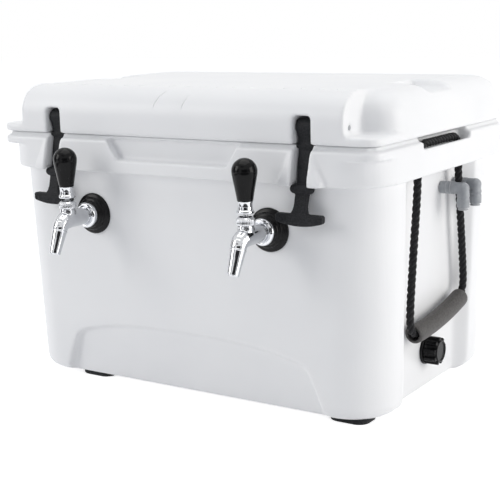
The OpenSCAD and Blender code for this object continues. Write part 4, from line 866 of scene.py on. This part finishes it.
# Chilling coils: drawn stainless tube, each wound in nine open loops, with both
# tails brought up to the hoses.
coil_x, coil_r, tail_in, loops, pitch, bend = 0.108, 0.084, 0.024, 9, 0.012, 0.012
floor_z, tail_z, coil_tube_r, loop_steps = 0.053, 0.195, 0.004, 24
tail_angle = math.radians(-50)
tail_start = (coil_r - tail_in) * Vector((math.cos(tail_angle), math.sin(tail_angle), 0))
quarter = [math.radians(22.5 * k) for k in range(5)]
heading = (Vector((coil_r, 0, 0)) - tail_start).normalized()
for side, sign in (("left", -1), ("right", 1)):
    line = [tail_start + Vector((0, 0, z)) for z in (tail_z, 0.167, 0.139, 0.111, 0.089, 0.073)]
    line += [tail_start + heading * bend * (1 - math.cos(b)) + Vector((0, 0, floor_z + bend - bend * math.sin(b)))
             for b in quarter]
    line += [Vector((coil_r * math.cos(math.tau * k / loop_steps), coil_r * math.sin(math.tau * k / loop_steps),
                     floor_z + pitch * k / loop_steps)) for k in range(1, loops * loop_steps + 1)]
    line += [Vector((coil_r, bend * math.sin(b), floor_z + loops * pitch + bend * (1 - math.cos(b))))
             for b in quarter[1:]]
    line += [Vector((coil_r, bend, z)) for z in (0.180, tail_z)]
    line = smooth_route([p + Vector((sign * coil_x, 0, 0)) for p in line], 0.003)
    coil = piece(f"coil_{side}_tube", tube_along("coil", line, coil_tube_r, sides=3), steel)
    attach(coil, "root")
    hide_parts(f"coil_{side}")

# Hoses: four smooth clear lines, from the inlets to the coils' outer tails and from
# the inner tails to the shanks.
hose = grained("clear_hose", (0.62, 0.65, 0.66), 0.30, (0.56, 0.59, 0.60), (0.68, 0.71, 0.72), (90, 2.0),
               (0.06, 0.0004))
stem_tip_x, shank_tip_y, hose_r, hose_steps = 0.21713, -0.1223, 0.0048, 40
inner_tail = [tail_start + Vector((sign * coil_x, 0, tail_z)) for sign in (-1, 1)]
outer_tail = [Vector((sign * coil_x + coil_r, bend, tail_z)) for sign in (-1, 1)]
# Each run: its start and the way out of it, its end and the way into it, and how far they reach.
runs = [(inner_tail[k], Vector((0, 0, 1)), Vector((sign * tap_x, shank_tip_y, tap_z)), Vector((0, -1, 0)), 0.045)
        for k, sign in enumerate((-1, 1))]
runs += [(Vector((stem_tip_x, y, inlet_z)), Vector((-1, 0, 0)), outer_tail[k], Vector((0, 0, -1)), reach)
         for (_, y), k, reach in zip(inlets, (1, 0), (0.058, 0.070))]
lines = bmesh.new()
for a, out, b, home, reach in runs:
    leaving, coming = a + reach * out, b - reach * home
    bezier = [(1 - t) ** 3 * a + 3 * (1 - t) ** 2 * t * leaving + 3 * (1 - t) * t * t * coming + t ** 3 * b
              for t in (k / hose_steps for k in range(hose_steps + 1))]
    lines.from_mesh(tube_along("hose", bezier, hose_r, sides=4))
hoses = piece("drink_hoses", as_mesh("hoses", lines), hose)
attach(hoses, "root")
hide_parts("tubing")

# Carried-over parts: pins, screws, nuts, stems, shanks, seals and foam keep the
# shape that the model gives them, and take their finish here.
foam = grained("rigid_foam", (0.72, 0.60, 0.36), 0.85, (0.62, 0.50, 0.28), (0.80, 0.69, 0.45), (380, 6.0),
               (0.5, 0.0008))
seal = grained("pale_seal", (0.52, 0.49, 0.44), 0.55, (0.47, 0.44, 0.39), (0.56, 0.53, 0.48), (240, 3.0),
               (0.15, 0.0003))
carried = {
    foam: ["body_foam", "lid_foam"],
    seal: ["lid_gasket"],
    rubber: ["drain_gasket", "lid_foam_plug", "seat_washer_left", "seat_washer_right"],
    steel: ["foot_screws", "hinge_pins", "latch_pins", "tap_shaft_left", "tap_shaft_right", "tap_lever_left",
            "tap_lever_right"],
    chrome: ["shank_left", "shank_right", "shank_nut_left", "shank_nut_right"],
    acetal: ["inlet_stem_front", "inlet_stem_back", "inlet_nut_front", "inlet_nut_back"],
    satin_black: ["drain_nut"],
}
for finish, nodes in carried.items():
    for node in nodes:
        for held in bpy.data.objects[node].material_slots:
            held.material = finish
